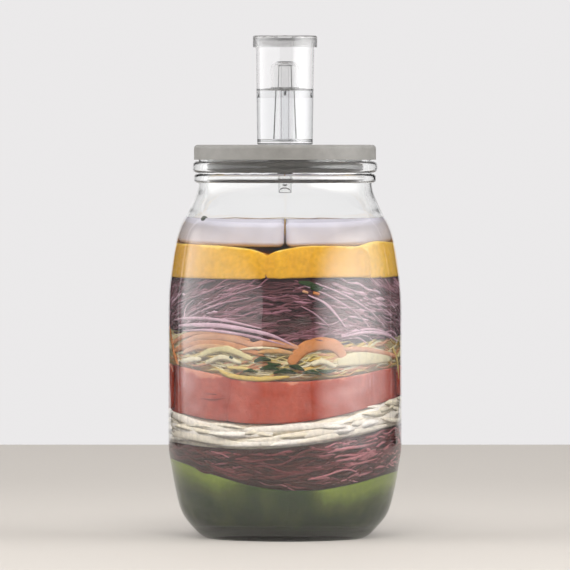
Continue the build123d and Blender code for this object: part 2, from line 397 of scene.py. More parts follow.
# %% [markdown]
# ## The brine
# The liquid touches the glass. Its mesh could end where the glass begins, but then a thin gap of
# air would lie between the two and look like a mirror, so it reaches a little way into the wall.
# Its surface climbs the glass in a small meniscus, which gives the fine line at its edge.

# %% Make the brine
wetting = 0.15 * MM
brine_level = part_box("brine")[1].z
meniscus_rise, meniscus_width = 0.6 * MM, 2.5 * MM


def wetted_side(curve, level):
    """The part of a curve of (radius, height) that lies below a level, ended on the level."""
    below = [p for p in curve if p[1] < level]
    start, end = next((a, b) for a, b in zip(curve, curve[1:]) if a[1] < level <= b[1])
    share = (level - start[1]) / (end[1] - start[1])
    return below + [(start[0] + share * (end[0] - start[0]), level)]


def make_brine():
    """The brine from the floor of the jar to its surface, touching the glass."""
    side = wetted_side(room_curve(-wetting), brine_level + meniscus_rise)
    edge = side[-1][0]
    ways = [1 - step / 10 for step in range(11)]
    top = [
        (edge - wetting - meniscus_width * (1 - t), brine_level + meniscus_rise * t**2.5)
        for t in ways
    ]
    brine = turned("brine_body", side + top + [(0, brine_level)], 192)
    brine.data.materials.append(brine_liquid)
    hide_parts("brine")
    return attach(brine, "jar")


brine = make_brine()
print("brine surface at", round(brine_level, 4), "m")

# %% [markdown]
# ## Silicone and ceramic
# The lid is matte grey silicone, which picks up a little dust. The stones are glazed white, over
# a body that is never quite even. Noise on Object coordinates gives both, since it needs no
# unwrapped surface, and it stays with the piece when the lid or a stone is lifted.

# %% Silicone and ceramic


def colour_ramp(tree, value, stops):
    """A colour for a value, from stops of (place, colour)."""
    ramp = add(tree, "ShaderNodeValToRGB", {"Fac": value})
    made = ramp.color_ramp.elements
    while len(made) < len(stops):
        made.new(0.5)
    for stop, (where, colour) in zip(made, stops):
        stop.position = where
        stop.color = (*colour, 1)
    return ramp.outputs["Color"]


def rubbed_silicone():
    """Matte grey silicone, with a fine grain and a little dust."""
    material, tree, output = new_material("grey_silicone")
    place = add(tree, "ShaderNodeTexCoord")
    dust = add(tree, "ShaderNodeTexNoise", {
        "Vector": place.outputs["Object"], "Scale": 90.0, "Detail": 6.0, "Roughness": 0.7,
    })
    grain = add(tree, "ShaderNodeTexNoise", {
        "Vector": place.outputs["Object"], "Scale": 2500.0, "Detail": 2.0,
    })
    tint = colour_ramp(tree, dust.outputs["Fac"], [
        (0.3, (0.165, 0.160, 0.150)), (0.75, (0.225, 0.219, 0.205)),
    ])
    wear = add(tree, "ShaderNodeMapRange", {
        "Value": dust.outputs["Fac"], "To Min": 0.5, "To Max": 0.68,
    })
    bump = add(tree, "ShaderNodeBump", {
        "Height": grain.outputs["Fac"], "Distance": 0.00006, "Strength": 0.5,
    })
    skin = add(tree, "ShaderNodeBsdfPrincipled", {
        "Base Color": tint, "Roughness": wear.outputs["Result"],
        "Specular IOR Level": 0.35, "Normal": bump.outputs["Normal"],
        "Sheen Weight": 0.08, "Sheen Roughness": 0.4,
    })
    tree.links.new(skin.outputs[0], output.inputs["Surface"])
    return material


def glazed_ceramic():
    """White glaze over a slightly uneven body, with faint specks."""
    material, tree, output = new_material("white_ceramic")
    place = add(tree, "ShaderNodeTexCoord")
    cloud = add(tree, "ShaderNodeTexNoise", {
        "Vector": place.outputs["Object"], "Scale": 55.0, "Detail": 4.0,
    })
    speck = add(tree, "ShaderNodeTexVoronoi", {"Vector": place.outputs["Object"], "Scale": 420.0})
    dots = add(tree, "ShaderNodeMapRange", {
        "Value": speck.outputs["Distance"], "From Min": 0.06, "From Max": 0.12,
        "To Min": 0.8, "To Max": 1.0,
    })
    tint = colour_ramp(tree, cloud.outputs["Fac"], [
        (0.3, (0.61, 0.60, 0.665)), (0.7, (0.70, 0.69, 0.755)),
    ])
    shaded = add(tree, "ShaderNodeVectorMath", {0: tint}, operation="SCALE")
    tree.links.new(dots.outputs["Result"], shaded.inputs["Scale"])
    skin = add(tree, "ShaderNodeBsdfPrincipled", {
        "Base Color": shaded.outputs["Vector"], "Roughness": 0.22, "Specular IOR Level": 0.4,
    })
    tree.links.new(skin.outputs[0], output.inputs["Surface"])
    return material


grey_silicone = rubbed_silicone()
white_ceramic = glazed_ceramic()
print("made", grey_silicone.name, "and", white_ceramic.name)

# %% [markdown]
# ## The lid, the stones and the cap
# The plain solids of these pieces have the true outline, down to the ribs of the lid's plug and
# the vents of the cap. Building them again would add nothing, so each is kept as a copy with its
# facets joined, its curves shaded smooth and its corners kept.

# %% Smooth copies of the solids


def smoothed(node, material, body, sharp=35):
    """A copy of a plain solid with its facets joined and its curves shaded smooth."""
    mesh = nodes[node].data.copy()
    mesh.name = node + "_finished"
    shell = bmesh.new()
    shell.from_mesh(mesh)
    bmesh.ops.remove_doubles(shell, verts=shell.verts, dist=0.000002)
    bmesh.ops.recalc_face_normals(shell, faces=shell.faces)
    shell.to_mesh(mesh)
    shell.free()
    mesh.polygons.foreach_set("use_smooth", [True] * len(mesh.polygons))
    mesh.materials.clear()
    mesh.materials.append(material)
    piece = object_from(node + "_finished", mesh)
    even_normals(piece, sharp)
    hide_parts(node)
    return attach(piece, body)


smoothed("silicone_lid", grey_silicone, "lid")
smoothed("ceramic_stone_left", white_ceramic, "left_stone")
smoothed("ceramic_stone_right", white_ceramic, "right_stone")
smoothed("airlock_cap", cap_plastic, "cap")
print("lid, stones and cap finished")

# %% [markdown]
# ## The airlock
# Gas from the food rises through the riser, lifts the bell and bubbles out through the water. The
# cup, its water and the bell are turned again from finer profiles, because one is seen through
# the other. The water reaches the walls, as the brine does.

# %% The airlock's cup
cup_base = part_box("silicone_lid")[1].z + 0.1 * MM
cup_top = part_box("airlock_body")[1].z
stem_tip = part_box("airlock_body")[0].z
cup_base_radius, cup_top_radius = 17.5 * MM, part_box("airlock_body")[1].x
cup_wall, cup_floor = 1.5 * MM, 2.0 * MM
riser_top = cup_base + cup_floor + 48.7 * MM
riser_base_radius, riser_top_radius, tube_bore = 5.6 * MM, 4.0 * MM, 2.4 * MM
floor_line, root_round = cup_base + cup_floor, 1.5 * MM
water_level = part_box("airlock_water")[1].z
airlock_steps = 160


def share_of_way(height, low, high, start, end):
    """The value at a height on a straight side that goes from start to end."""
    return start + (height - low) / (high - low) * (end - start)


def make_airlock_cup():
    """Cup, riser tube and tapered stem in one moulding, with one bore through it."""
    profile = [
        (tube_bore, stem_tip), (4.15 * MM, stem_tip), (6.0 * MM, cup_base),
        (cup_base_radius, cup_base), (cup_top_radius, cup_top),
        (cup_top_radius - cup_wall, cup_top), (cup_base_radius - cup_wall, floor_line),
        (riser_base_radius, floor_line), (riser_top_radius, riser_top), (tube_bore, riser_top),
    ]
    radii = [size * MM for size in (0.3, 0.6, 0, 1.2, 0.5, 0.5, 1.5, 1.5, 0.5, 0.4)]
    cup = turned("airlock_cup", rounded(profile, radii), airlock_steps)
    for material in (airlock_plastic, wetted_wall, dry_wall):
        cup.data.materials.append(material)
    for face in cup.data.polygons:
        near_axis = math.hypot(face.center.x, face.center.y) < riser_base_radius
        if near_axis and face.center.z > floor_line + root_round:
            face.material_index = 1 if face.center.z < water_level else 2
    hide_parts("airlock_body")
    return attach(cup, "airlock")


airlock_cup = make_airlock_cup()
print("airlock cup:", len(airlock_cup.data.polygons), "faces")

# %% The airlock's water
water_climb, climb_width, tube_overlap = 0.5 * MM, 0.7 * MM, 0.1 * MM


def make_airlock_water():
    """Water that wets the cup and the riser, up to the brim of the bell, which dips into it."""
    low, high, riser = floor_line - wetting, water_level, tube_bore + tube_overlap

    def cup_side(height):
        outside = share_of_way(height, floor_line, cup_top, cup_base_radius, cup_top_radius)
        return outside - cup_wall + wetting

    profile = [
        (riser, low), (cup_side(low), low), (cup_side(high), high + water_climb),
        (cup_side(high) - climb_width, high), (riser, high),
    ]
    water = turned("airlock_water_body", rounded(profile, [0, root_round, 0, 0, 0]), airlock_steps)
    water.data.materials.append(airlock_liquid)
    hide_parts("airlock_water")
    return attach(water, "airlock")


airlock_water = make_airlock_water()
print("airlock water up to", round(water_level, 4), "m")

# %% The airlock's bell
bell_low, bell_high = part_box("airlock_float")[0].z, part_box("airlock_float")[1].z
bell_wall, bell_tube, bell_brim = 1.2 * MM, 9.0 * MM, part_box("airlock_float")[1].x
brim_height, dome_rise, inner_rise = 5.6 * MM, 5 * MM, 4 * MM
dome_shares = ((0.98, 0.30), (0.90, 0.58), (0.76, 0.80), (0.62, 0.92))
notch_radius = 1.2 * MM


def bell_profile():
    """The bell's section, out over the dome and back up the inside."""
    step, roof, spring = bell_low + brim_height, riser_top_radius + 0.8 * MM, bell_high - dome_rise
    bore, ceiling = bell_tube - bell_wall, bell_high - bell_wall
    outer = [(bell_brim, bell_low), (bell_brim, step), (bell_tube, step), (bell_tube, spring)]
    outer += [(bell_tube * across, bell_high - dome_rise * (1 - up)) for across, up in dome_shares]
    outer += [(roof, bell_high), (0, bell_high)]
    under = [(0, ceiling), (roof, ceiling)]
    under += [(bore * across, ceiling - inner_rise * (1 - up)) for across, up in dome_shares[::-1]]
    under += [(bore, spring), (bore, step - bell_wall)]
    under += [(bell_brim - bell_wall, step - bell_wall), (bell_brim - bell_wall, bell_low)]
    radii = [0.3, 0.5, 0.8, 0] + [0] * 6 + [0] * 7 + [0.6, 0.4, 0.3]
    return rounded(outer + under, [size * MM for size in radii])


def make_airlock_float():
    """The bell: a domed tube with a wide brim, open below, with four notches in its lower edge."""
    bell = turned("airlock_bell", bell_profile(), airlock_steps)
    for point in bell.data.vertices:
        turn = math.atan2(point.co.x, -point.co.y)
        reach = math.hypot(point.co.x, point.co.y)
        off = reach * math.sin(2 * turn) / 2
        if reach > bell_tube:
            notch = math.sqrt(max(notch_radius**2 - off**2, 0))
            point.co.z = max(point.co.z, bell_low + notch)
    bell.data.materials.append(airlock_plastic)
    bell.data.materials.append(wet_plastic)
    for face in bell.data.polygons:
        face.material_index = int(face.center.z < water_level)
    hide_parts("airlock_float")
    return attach(bell, "float")


airlock_bell = make_airlock_float()
print("airlock bell:", len(airlock_bell.data.polygons), "faces")

# %% [markdown]
# ## The layers of food
# Seven layers lie in the jar. Where one ends and the next begins is a gentle curve from left to
# right, given as shares of the food's depth, the same shares that the construction model has. So
# a layer is found by its name, and everything in it is placed from its two surfaces.

# %% Where each layer lies
floor_height, food_depth = 10.0 * MM, 172.0 * MM
floor_gap, layer_gap = 0.8 * MM, 0.3 * MM
slab_foot, band_radius, path_radius = 11.0, 66.0, 67.0
wall_points = [p for p in inside if p[1] > 5 * MM and p[0] > foot_radius - body_wall - 1e-6]
wall_heights = np.array([z for r, z in wall_points])
wall_radii = np.array([r for r, z in wall_points])
no_layer = (0.0, 0.0, 0.0)
layer_tops = {
    "green_pepper_layer": (0.262, 0.134, 0.212),
    "beetroot_layer": (0.300, 0.285, 0.372),
    "white_cabbage_layer": (0.419, 0.371, 0.477),
    "red_pepper_layer": (0.594, 0.525, 0.586),
    "onion_herb_layer": (0.721, 0.645, 0.695),
    "red_cabbage_layer": (0.888, 0.893, 0.890),
    "orange_pepper_layer": (1.0, 1.0, 1.0),
}
layer_order = list(layer_tops)


def room_radius(height):
    """The radius of the inside of the glass at a height."""
    return np.interp(height, wall_heights, wall_radii)


def layer_line(shares, x):
    """The height of a layer's top at a place across the jar, from its left, middle and right."""
    left, middle, right = shares
    t = x / body_radius
    share = middle + t * (right - left) / 2 + t * t * ((left + right) / 2 - middle)
    return floor_height + share * food_depth


def bounds_of(node):
    """The shares of the surfaces under and over a layer."""
    place = layer_order.index(node)
    under = layer_tops[layer_order[place - 1]] if place else no_layer
    return under, layer_tops[node]


def layer_reach(node, start, end, count=9):
    """Angles from start to end, with the heights of the layer's surfaces there in millimetres."""
    under, over = bounds_of(node)
    angles = np.linspace(start, end, count)
    x = band_radius * MM * np.sin(np.radians(angles))
    lower = np.full(count, slab_foot) if under is no_layer else layer_line(under, x) / MM
    return angles, lower, layer_line(over, x) / MM


print("food room from", floor_height, "to", floor_height + food_depth)

# %% [markdown]
# ## A piece of food against the glass
# Every slice and strip lies against the inside of the glass. Curves with a bevel could make them,
# but would cut through the wall where it bends. This helper lays one closed piece along a path of
# angles round the jar and heights, and it follows the wall, also round the heel and under the
# shoulder. It stores how far along and across each point is, and a tone for the whole piece, so
# that one material can colour a whole layer.

# %% Helpers that lay a piece of food along the glass


def smooth_path(path, ways):
    """Points at the given shares of the way along a smooth path through the given points."""
    path = np.asarray(path, float)
    if len(path) == 2:
        return path[0] + np.outer(ways, path[1] - path[0])
    held = np.vstack([2 * path[0] - path[1], path, 2 * path[-1] - path[-2]])
    place = np.clip(ways * (len(path) - 1), 0, len(path) - 1 - 1e-9)
    at = place.astype(int)
    t = (place - at)[:, None]
    a, b, c, d = (held[at + step] for step in range(4))
    bend, twist = 2 * a - 5 * b + 4 * c - d, 3 * b - 3 * c + d - a
    return 0.5 * (2 * b + (c - a) * t + bend * t**2 + twist * t**3)


def ring_faces(rows, around):
    """The four-sided faces between closed rings of points that follow one another."""
    faces = []
    for row in range(rows - 1):
        for k in range(around):
            here, after = row * around + k, row * around + (k + 1) % around
            faces.append((here, after, after + around, here + around))
    return faces


def slice_of_food(
    path, half_width, thick, gap=0.9, tone=0.5, steps=24, around=12, square=2.0, blunt=4.0,
):
    """One closed piece along a path of (degrees, millimetres); sizes in millimetres."""
    ways = 0.5 - 0.5 * np.cos(np.pi * np.arange(1, steps) / steps)
    ways = np.concatenate([[0.0], ways, [1.0]])
    spots = smooth_path(path, ways)
    half_width = np.atleast_1d(half_width)
    wide = np.interp(ways, np.linspace(0, 1, len(half_width)), half_width)
    turn, height = np.radians(spots[:, 0]), spots[:, 1]
    arc = turn * path_radius
    way = np.stack([np.gradient(arc), np.gradient(height)], axis=1)
    way /= np.linalg.norm(way, axis=1)[:, None] + 1e-12
    end = (1 - np.abs(2 * ways - 1) ** blunt) ** (1 / blunt)
    angle = 2 * np.pi * np.arange(around) / around
    across = np.sign(np.cos(angle)) * np.abs(np.cos(angle)) ** (2 / square)
    out = np.sign(np.sin(angle)) * np.abs(np.sin(angle)) ** (2 / square)
    inner, middle = slice(1, -1), gap + thick / 2
    off = (wide * end)[inner, None] * across[None, :]
    deep = middle - (thick / 2 * end)[inner, None] * out[None, :]
    ring_arc = arc[inner, None] - off * way[inner, 1][:, None]
    ring_height = height[inner, None] + off * way[inner, 0][:, None]
    rings = np.stack([ring_arc, ring_height, deep], axis=2).reshape(-1, 3)
    tips = [[arc[0], height[0], middle], [arc[-1], height[-1], middle]]
    flat = np.concatenate([rings, tips])
    turns, heights = flat[:, 0] / path_radius, flat[:, 1] * MM
    radius = room_radius(heights) - flat[:, 2] * MM
    points = np.stack([radius * np.sin(turns), -radius * np.cos(turns), heights], axis=1)
    rows = steps - 1
    faces = ring_faces(rows, around)
    first, last, last_ring = rows * around, rows * around + 1, (rows - 1) * around
    for k in range(around):
        after = (k + 1) % around
        faces += [(first, after, k), (last, last_ring + k, last_ring + after)]
    share = np.concatenate([np.repeat(ways[inner], around), [0, 1]])
    side = np.concatenate([np.tile(across, rows), [0, 0]])
    return points, faces, {"tone": np.full(len(points), tone), "along": share, "across": side}


def slices(table):
    """Pieces of food from a table whose rows give the values of slice_of_food in their order."""
    return [slice_of_food(*row) for row in table]


def slab(
    node, start, end, tone=0.5, thick=5.0, gap=1.0, low=0.4, high=0.2, steps=44, square=7, blunt=10,
):
    """A smooth slab of food that fills the height of a layer between two angles, in degrees."""
    angles, lower, upper = layer_reach(node, start, end)
    lower, upper = lower + low, upper - high
    path = np.stack([angles, (lower + upper) / 2], axis=1)
    return slice_of_food(path, (upper - lower) / 2, thick, gap, tone, steps, 28, square, blunt)


sample = slice_of_food([(0, 50), (10, 50)], 1.0, 1.0)
print("a plain slice has", len(sample[1]), "faces")

# %% [markdown]
# ## One object for each heap
# A layer may hold a hundred pieces. An object for each would be slow to export and hard to follow,
# so a heap joins them into one mesh and keeps their tones. Behind the pieces lies a closed core
# with the layer's own form, because only what touches the glass can be seen.

# %% Heaps and cores
first_height, settling_rounds = 50.0 * MM, 6


def mark_points(mesh, name, values):
    """Store a number for each point of a mesh, for a material to read."""
    mark = mesh.attributes.new(name, "FLOAT", "POINT")
    mark.data.foreach_set("value", np.asarray(values, np.float32))


def pile(name, parts, material):
    """One mesh object from many pieces of food, with their tones kept as attributes."""
    points, faces, kept = [], [], {"tone": [], "along": [], "across": []}
    start = 0
    for spots, sides, marks in parts:
        points.append(spots)
        faces += [tuple(start + k for k in side) for side in sides]
        start += len(spots)
        for key in kept:
            kept[key].append(marks[key])
    heap = piece_from(name, np.concatenate(points), faces)
    for key, values in kept.items():
        mark_points(heap.data, key, np.concatenate(values))
    heap.data.materials.append(material)
    return heap


def layer_core(name, node, material, depth=4.5, tone=0.4, drop=0.0, steps=120, rise=8, rings=6):
    """The closed middle of a layer, a little way in from the glass."""
    under, over = bounds_of(node)
    foot, fall, inset = floor_gap if under is no_layer else layer_gap, -drop * MM, depth * MM
    turns = 2 * np.pi * np.arange(steps) / steps
    points = []

    def edge(shares, lift):
        heights = np.full(steps, first_height)
        for _ in range(settling_rounds):
            radius = room_radius(heights) - inset
            heights = layer_line(shares, radius * np.sin(turns)) + lift
        return radius, heights

    def ring_at(radius, heights):
        points.extend(zip(radius * np.sin(turns), -radius * np.cos(turns), heights))

    low_radius, low = edge(under, foot)
    high_radius, high = edge(over, fall)
    for ring in range(1, rings):
        radius = low_radius * ring / rings
        ring_at(radius, layer_line(under, radius * np.sin(turns)) + foot)
    for step in range(rise + 1):
        heights = low + (high - low) * step / rise
        ring_at(room_radius(heights) - inset, heights)
    for ring in range(rings - 1, 0, -1):
        radius = high_radius * ring / rings
        ring_at(radius, layer_line(over, radius * np.sin(turns)) + fall)
    count = len(points)
    faces = ring_faces(count // steps, steps)
    faces += [tuple(range(steps - 1, -1, -1)), tuple(range(count - steps, count))]
    core = piece_from(name, points, faces)
    mark_points(core.data, "tone", [tone] * count)
    core.data.materials.append(material)
    return core


def rides_as(node, slot, *pieces):
    """Let the pieces of a layer ride with the jar in place of the plain solid."""
    for piece in pieces:
        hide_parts(node)
        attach(piece, "jar")
    print(node, "has", sum(len(piece.data.polygons) for piece in pieces), "faces")


print("heaps and cores ready")

# %% [markdown]
# ## The colour of food
# Food under brine shows almost no shine. A picture of each vegetable could be wrapped on, but it
# would be one jar's picture. Each material takes a ramp of colours by the tone of the piece
# instead, darkens and lightens it in soft patches, and may change towards an edge.

# %% Food materials
food_grain, grain_depth, food_roughness = 400.0, 0.12, 0.55


def towards_edge(tree, colour, soft, edge):
    """The colour, changed to another along a wandering line near the upper edge of a piece."""
    edge_colour, edge_start, edge_end = edge
    across = add(tree, "ShaderNodeAttribute", attribute_name="across")
    wander = add(tree, "ShaderNodeMath", {
        0: soft.outputs["Fac"], 1: 0.9, 2: across.outputs["Fac"],
    }, operation="MULTIPLY_ADD")
    near = add(tree, "ShaderNodeMapRange", {
        "Value": wander.outputs[0], "From Min": edge_start + 0.45, "From Max": edge_end + 0.45,
    }, interpolation_type="SMOOTHSTEP")
    mix = add(tree, "ShaderNodeMix", data_type="RGBA")
    tree.links.new(near.outputs["Result"], mix.inputs[0])
    tree.links.new(colour, mix.inputs[6])
    mix.inputs[7].default_value = (*edge_colour, 1)
    return mix.outputs[2]


def food_material(name, ramp, patches=(40.0, 0.25), edge=None, tall=1.0):
    """A colour by tone, in soft patches and fine grain, that may differ along the upper edge."""
    material, tree, output = new_material(name)
    place = add(tree, "ShaderNodeTexCoord")
    tone = add(tree, "ShaderNodeAttribute", attribute_name="tone")
    drawn = add(tree, "ShaderNodeMapping", {
        "Vector": place.outputs["Object"], "Scale": (1, 1, 1 / tall),
    })
    soft = add(tree, "ShaderNodeTexNoise", {
        "Vector": drawn.outputs["Vector"], "Scale": patches[0], "Detail": 3.0, "Roughness": 0.6,
    })
    fine = add(tree, "ShaderNodeTexNoise", {
        "Vector": place.outputs["Object"], "Scale": food_grain, "Detail": 2.0,
    })
    drift = add(tree, "ShaderNodeMath", {0: soft.outputs["Fac"], 1: 0.5}, operation="SUBTRACT")
    drift = add(tree, "ShaderNodeMath", {
        0: drift.outputs[0], 1: patches[1] * 2, 2: tone.outputs["Fac"],
    }, operation="MULTIPLY_ADD")
    colour = colour_ramp(tree, drift.outputs[0], ramp)
    shade = add(tree, "ShaderNodeMapRange", {
        "Value": fine.outputs["Fac"], "From Min": 0.3, "From Max": 0.7,
        "To Min": 1 - grain_depth, "To Max": 1 + grain_depth,
    })
    shaded = add(tree, "ShaderNodeVectorMath", {0: colour}, operation="SCALE")
    tree.links.new(shade.outputs["Result"], shaded.inputs["Scale"])
    colour = shaded.outputs["Vector"]
    if edge:
        colour = towards_edge(tree, colour, soft, edge)
    bump = add(tree, "ShaderNodeBump", {
        "Height": fine.outputs["Fac"], "Distance": 0.0003, "Strength": 0.6,
    })
    skin = add(tree, "ShaderNodeBsdfPrincipled", {
        "Base Color": colour, "Roughness": food_roughness, "Specular IOR Level": 0.15,
        "Normal": bump.outputs["Normal"],
    })
    tree.links.new(skin.outputs[0], output.inputs["Surface"])
    return material


green_pepper = food_material("green_pepper", [
    (0.2, (0.009, 0.020, 0.003)), (0.5, (0.020, 0.044, 0.005)),
    (0.75, (0.082, 0.112, 0.012)), (1.0, (0.20, 0.265, 0.025)),
], patches=(70.0, 0.22), tall=3.0)
beetroot = food_material("beetroot", [
    (0.1, (0.036, 0.007, 0.006)), (0.5, (0.086, 0.017, 0.013)),
    (0.85, (0.22, 0.048, 0.052)), (1.0, (0.56, 0.20, 0.22)),
])
white_cabbage = food_material("white_cabbage", [
    (0.0, (0.62, 0.54, 0.34)), (0.3, (0.80, 0.72, 0.54)),
    (0.8, (0.90, 0.83, 0.70)), (1.0, (0.94, 0.89, 0.80)),
], patches=(40.0, 0.15))
red_pepper = food_material("red_pepper", [
    (0.1, (0.26, 0.026, 0.011)), (0.5, (0.405, 0.050, 0.020)), (0.9, (0.53, 0.095, 0.045)),
], patches=(70.0, 0.35), edge=((0.62, 0.22, 0.13), 0.86, 1.0), tall=5.0)
onion_and_herb = food_material("onion_and_herb", [
    (0.0, (0.012, 0.028, 0.006)), (0.13, (0.03, 0.06, 0.012)),
    (0.22, (0.56, 0.17, 0.030)), (0.32, (0.60, 0.24, 0.075)),
    (0.42, (0.60, 0.30, 0.17)), (0.55, (0.62, 0.42, 0.08)),
    (0.72, (0.66, 0.57, 0.28)), (1.0, (0.72, 0.65, 0.46)),
], patches=(60.0, 0.06))
red_cabbage = food_material("red_cabbage", [
    (0.1, (0.045, 0.014, 0.016)), (0.5, (0.155, 0.057, 0.064)),
    (0.8, (0.32, 0.14, 0.175)), (1.0, (0.66, 0.44, 0.51)),
])
orange_pepper = food_material("orange_pepper", [
    (0.1, (0.54, 0.23, 0.012)), (0.5, (0.73, 0.385, 0.022)), (0.9, (0.87, 0.53, 0.038)),
], patches=(60.0, 0.3), edge=((0.85, 0.60, 0.12), 0.88, 1.0), tall=4.0)
print("food materials made")

# %% [markdown]
# ## Shreds
# Cut cabbage, beetroot and onion are hundreds of like shreds. Each shred is a bent, slightly wavy
# strip of a few dozen faces, in four lengths, and the white cabbage has wider, thinner leaf strips.

# %% The shapes of shreds


def shred_shape(name, length, width, thick, wave, rows=12):
    """A bent, slightly wavy strip along X that follows the curve of the glass."""
    points = []
    for row in range(rows + 1):
        t = row / rows
        along = (t - 0.5) * length
        turn = along / band_radius
        taper = (1 - abs(2 * t - 1) ** 5) ** 0.4 if 0 < row < rows else 0.18
        sway = wave * math.sin(2 * math.pi * t * 1.3 + length)
        for side, rise in ((-1, 0), (0, 0.5), (1, 0), (0, -0.5)):
            high = thick * rise * taper + band_radius * (math.cos(turn) - 1)
            off = sway + side * width / 2 * taper
            points.append((band_radius * math.sin(turn) * MM, off * MM, high * MM))
    faces = ring_faces(rows + 1, 4)
    faces += [(3, 2, 1, 0), tuple(rows * 4 + k for k in range(4))]
    return piece_from(name, points, faces)


def shapes_of(name, table):
    """A collection of shreds, each given by its length, width, thickness and wave."""
    kept = bpy.data.collections.new(name)
    for place, sizes in enumerate(table):
        shape = shred_shape(f"{name}_{place}", *sizes)
        scene.collection.objects.unlink(shape)
        kept.objects.link(shape)
    return kept


thin_shreds = shapes_of("shred", (
    (26, 1.7, 1.0, 0.8), (34, 1.3, 0.9, 1.4), (20, 2.2, 1.1, 0.5), (40, 1.1, 0.8, 2.0),
))
leaf_strips = shapes_of("leaf_strip", (
    (64, 4.6, 0.6, 0.8), (78, 3.6, 0.6, 1.2), (52, 5.8, 0.7, 0.6), (70, 2.6, 0.6, 1.0),
))

# %% [markdown]
# ## The node tree that lays shreds
# Laying hundreds of shreds by hand is no use, and a particle system can't be turned into a mesh
# as simply. A geometry node tree scatters points over a band, takes a shape for each, turns it
# along the layer with a chance tilt, and gives it a tone by chance. The seed is fixed, so the jar
# is the same each time. The last two nodes make the copies real and give them their material.

# %% The node tree


def shred_tree():
    """Scatter shreds from a collection over a band, along its flow."""
    tree = bpy.data.node_groups.new("lay_shreds", "GeometryNodeTree")
    face = tree.interface
    face.new_socket("Geometry", in_out="OUTPUT", socket_type="NodeSocketGeometry")
    face.new_socket("Band", in_out="INPUT", socket_type="NodeSocketGeometry")
    for label, kind in (
        ("Shapes", "Collection"), ("Density", "Float"), ("Seed", "Int"), ("Tilt", "Float"),
        ("Least Size", "Float"), ("Most Size", "Float"),
        ("Least Tone", "Float"), ("Most Tone", "Float"), ("Material", "Material"),
    ):
        face.new_socket(label, in_out="INPUT", socket_type="NodeSocket" + kind)
    given = tree.nodes.new("NodeGroupInput").outputs
    scatter = add(tree, "GeometryNodeDistributePointsOnFaces", {
        "Mesh": given["Band"], "Density": given["Density"], "Seed": given["Seed"],
    })
    flow = add(tree, "GeometryNodeInputNamedAttribute", {"Name": "flow"}, data_type="FLOAT_VECTOR")
    lie = add(tree, "FunctionNodeAxesToRotation", {
        "Primary Axis": scatter.outputs["Normal"], "Secondary Axis": flow.outputs["Attribute"],
    }, primary_axis="Z", secondary_axis="X")
    least = add(tree, "ShaderNodeMath", {0: given["Tilt"], 1: -1.0}, operation="MULTIPLY")
    chance = add(tree, "FunctionNodeRandomValue", {
        "Min": least.outputs[0], "Max": given["Tilt"], "Seed": given["Seed"],
    }, data_type="FLOAT")
    turn = add(tree, "ShaderNodeCombineXYZ", {"Z": chance.outputs[1]})
    tilt = add(tree, "FunctionNodeEulerToRotation", {0: turn.outputs[0]})
    turned_way = add(tree, "FunctionNodeRotateRotation", {
        "Rotation": lie.outputs[0], "Rotate By": tilt.outputs[0],
    }, rotation_space="LOCAL")
    size = add(tree, "FunctionNodeRandomValue", {
        "Min": given["Least Size"], "Max": given["Most Size"], "Seed": given["Seed"],
    }, data_type="FLOAT")
    scale = add(tree, "ShaderNodeCombineXYZ", {"X": size.outputs[1], "Y": size.outputs[1], "Z": 1.0})
    shapes = add(tree, "GeometryNodeCollectionInfo", {
        "Collection": given["Shapes"], "Separate Children": True, "Reset Children": True,
    })
    laid = add(tree, "GeometryNodeInstanceOnPoints", {
        "Points": scatter.outputs["Points"], "Instance": shapes.outputs[0], "Pick Instance": True,
        "Rotation": turned_way.outputs[0], "Scale": scale.outputs[0],
    })
    tone_seed = add(tree, "ShaderNodeMath", {0: given["Seed"], 1: 7.0}, operation="ADD")
    tone = add(tree, "FunctionNodeRandomValue", {
        "Min": given["Least Tone"], "Max": given["Most Tone"], "Seed": tone_seed.outputs[0],
    }, data_type="FLOAT")
    marked = add(tree, "GeometryNodeStoreNamedAttribute", {
        "Geometry": laid.outputs[0], "Name": "tone", "Value": tone.outputs[1],
    }, data_type="FLOAT", domain="INSTANCE")
    whole = add(tree, "GeometryNodeRealizeInstances", {"Geometry": marked.outputs[0]})
    dressed = add(tree, "GeometryNodeSetMaterial", {
        "Geometry": whole.outputs[0], "Material": given["Material"],
    })
    tree.links.new(dressed.outputs[0], tree.nodes.new("NodeGroupOutput").inputs[0])
    return tree


lay_shreds = shred_tree()
print("node tree with", len(lay_shreds.nodes), "nodes")

# %% [markdown]
# ## A band for the shreds
# The tree needs a surface to scatter on. It gets an open band along the glass, over the height of
# a layer. An attribute on the band holds the way the shreds run, level or in an arch. After the
# tree has run, its result is kept as a plain mesh and the band goes.

# %% Bands and shreds


def wall_band(name, node, depth, trim=1.0, arch=0.0, steps=144, rise=6):
    """An open band along the glass over the height of a layer, with the way its shreds run."""
    under, over = bounds_of(node)
    turns = 2 * np.pi * np.arange(steps) / steps
    points, flows = [], []
    reach = (body_radius - body_wall - depth * MM) * np.sin(turns)
    low, high = layer_line(under, reach) + trim * MM, layer_line(over, reach) - trim * MM
    for row in range(rise + 1):
        heights = low + (high - low) * row / rise
        radius = room_radius(heights) - depth * MM
        spots = np.stack([radius * np.sin(turns), -radius * np.cos(turns), heights], axis=1)
        ways = np.roll(spots, -1, axis=0) - np.roll(spots, 1, axis=0)
        ways /= np.linalg.norm(ways, axis=1)[:, None]
        ways[:, 2] -= arch * np.sin(turns)
        flows.append(ways / np.linalg.norm(ways, axis=1)[:, None])
        points.append(spots)
    mesh = bpy.data.meshes.new(name)
    mesh.from_pydata([tuple(p) for p in np.concatenate(points)], [], ring_faces(rise + 1, steps))
    flow = mesh.attributes.new("flow", "FLOAT_VECTOR", "POINT")
    flow.data.foreach_set("vector", np.concatenate(flows).astype(np.float32).ravel())
    return object_from(name, mesh)


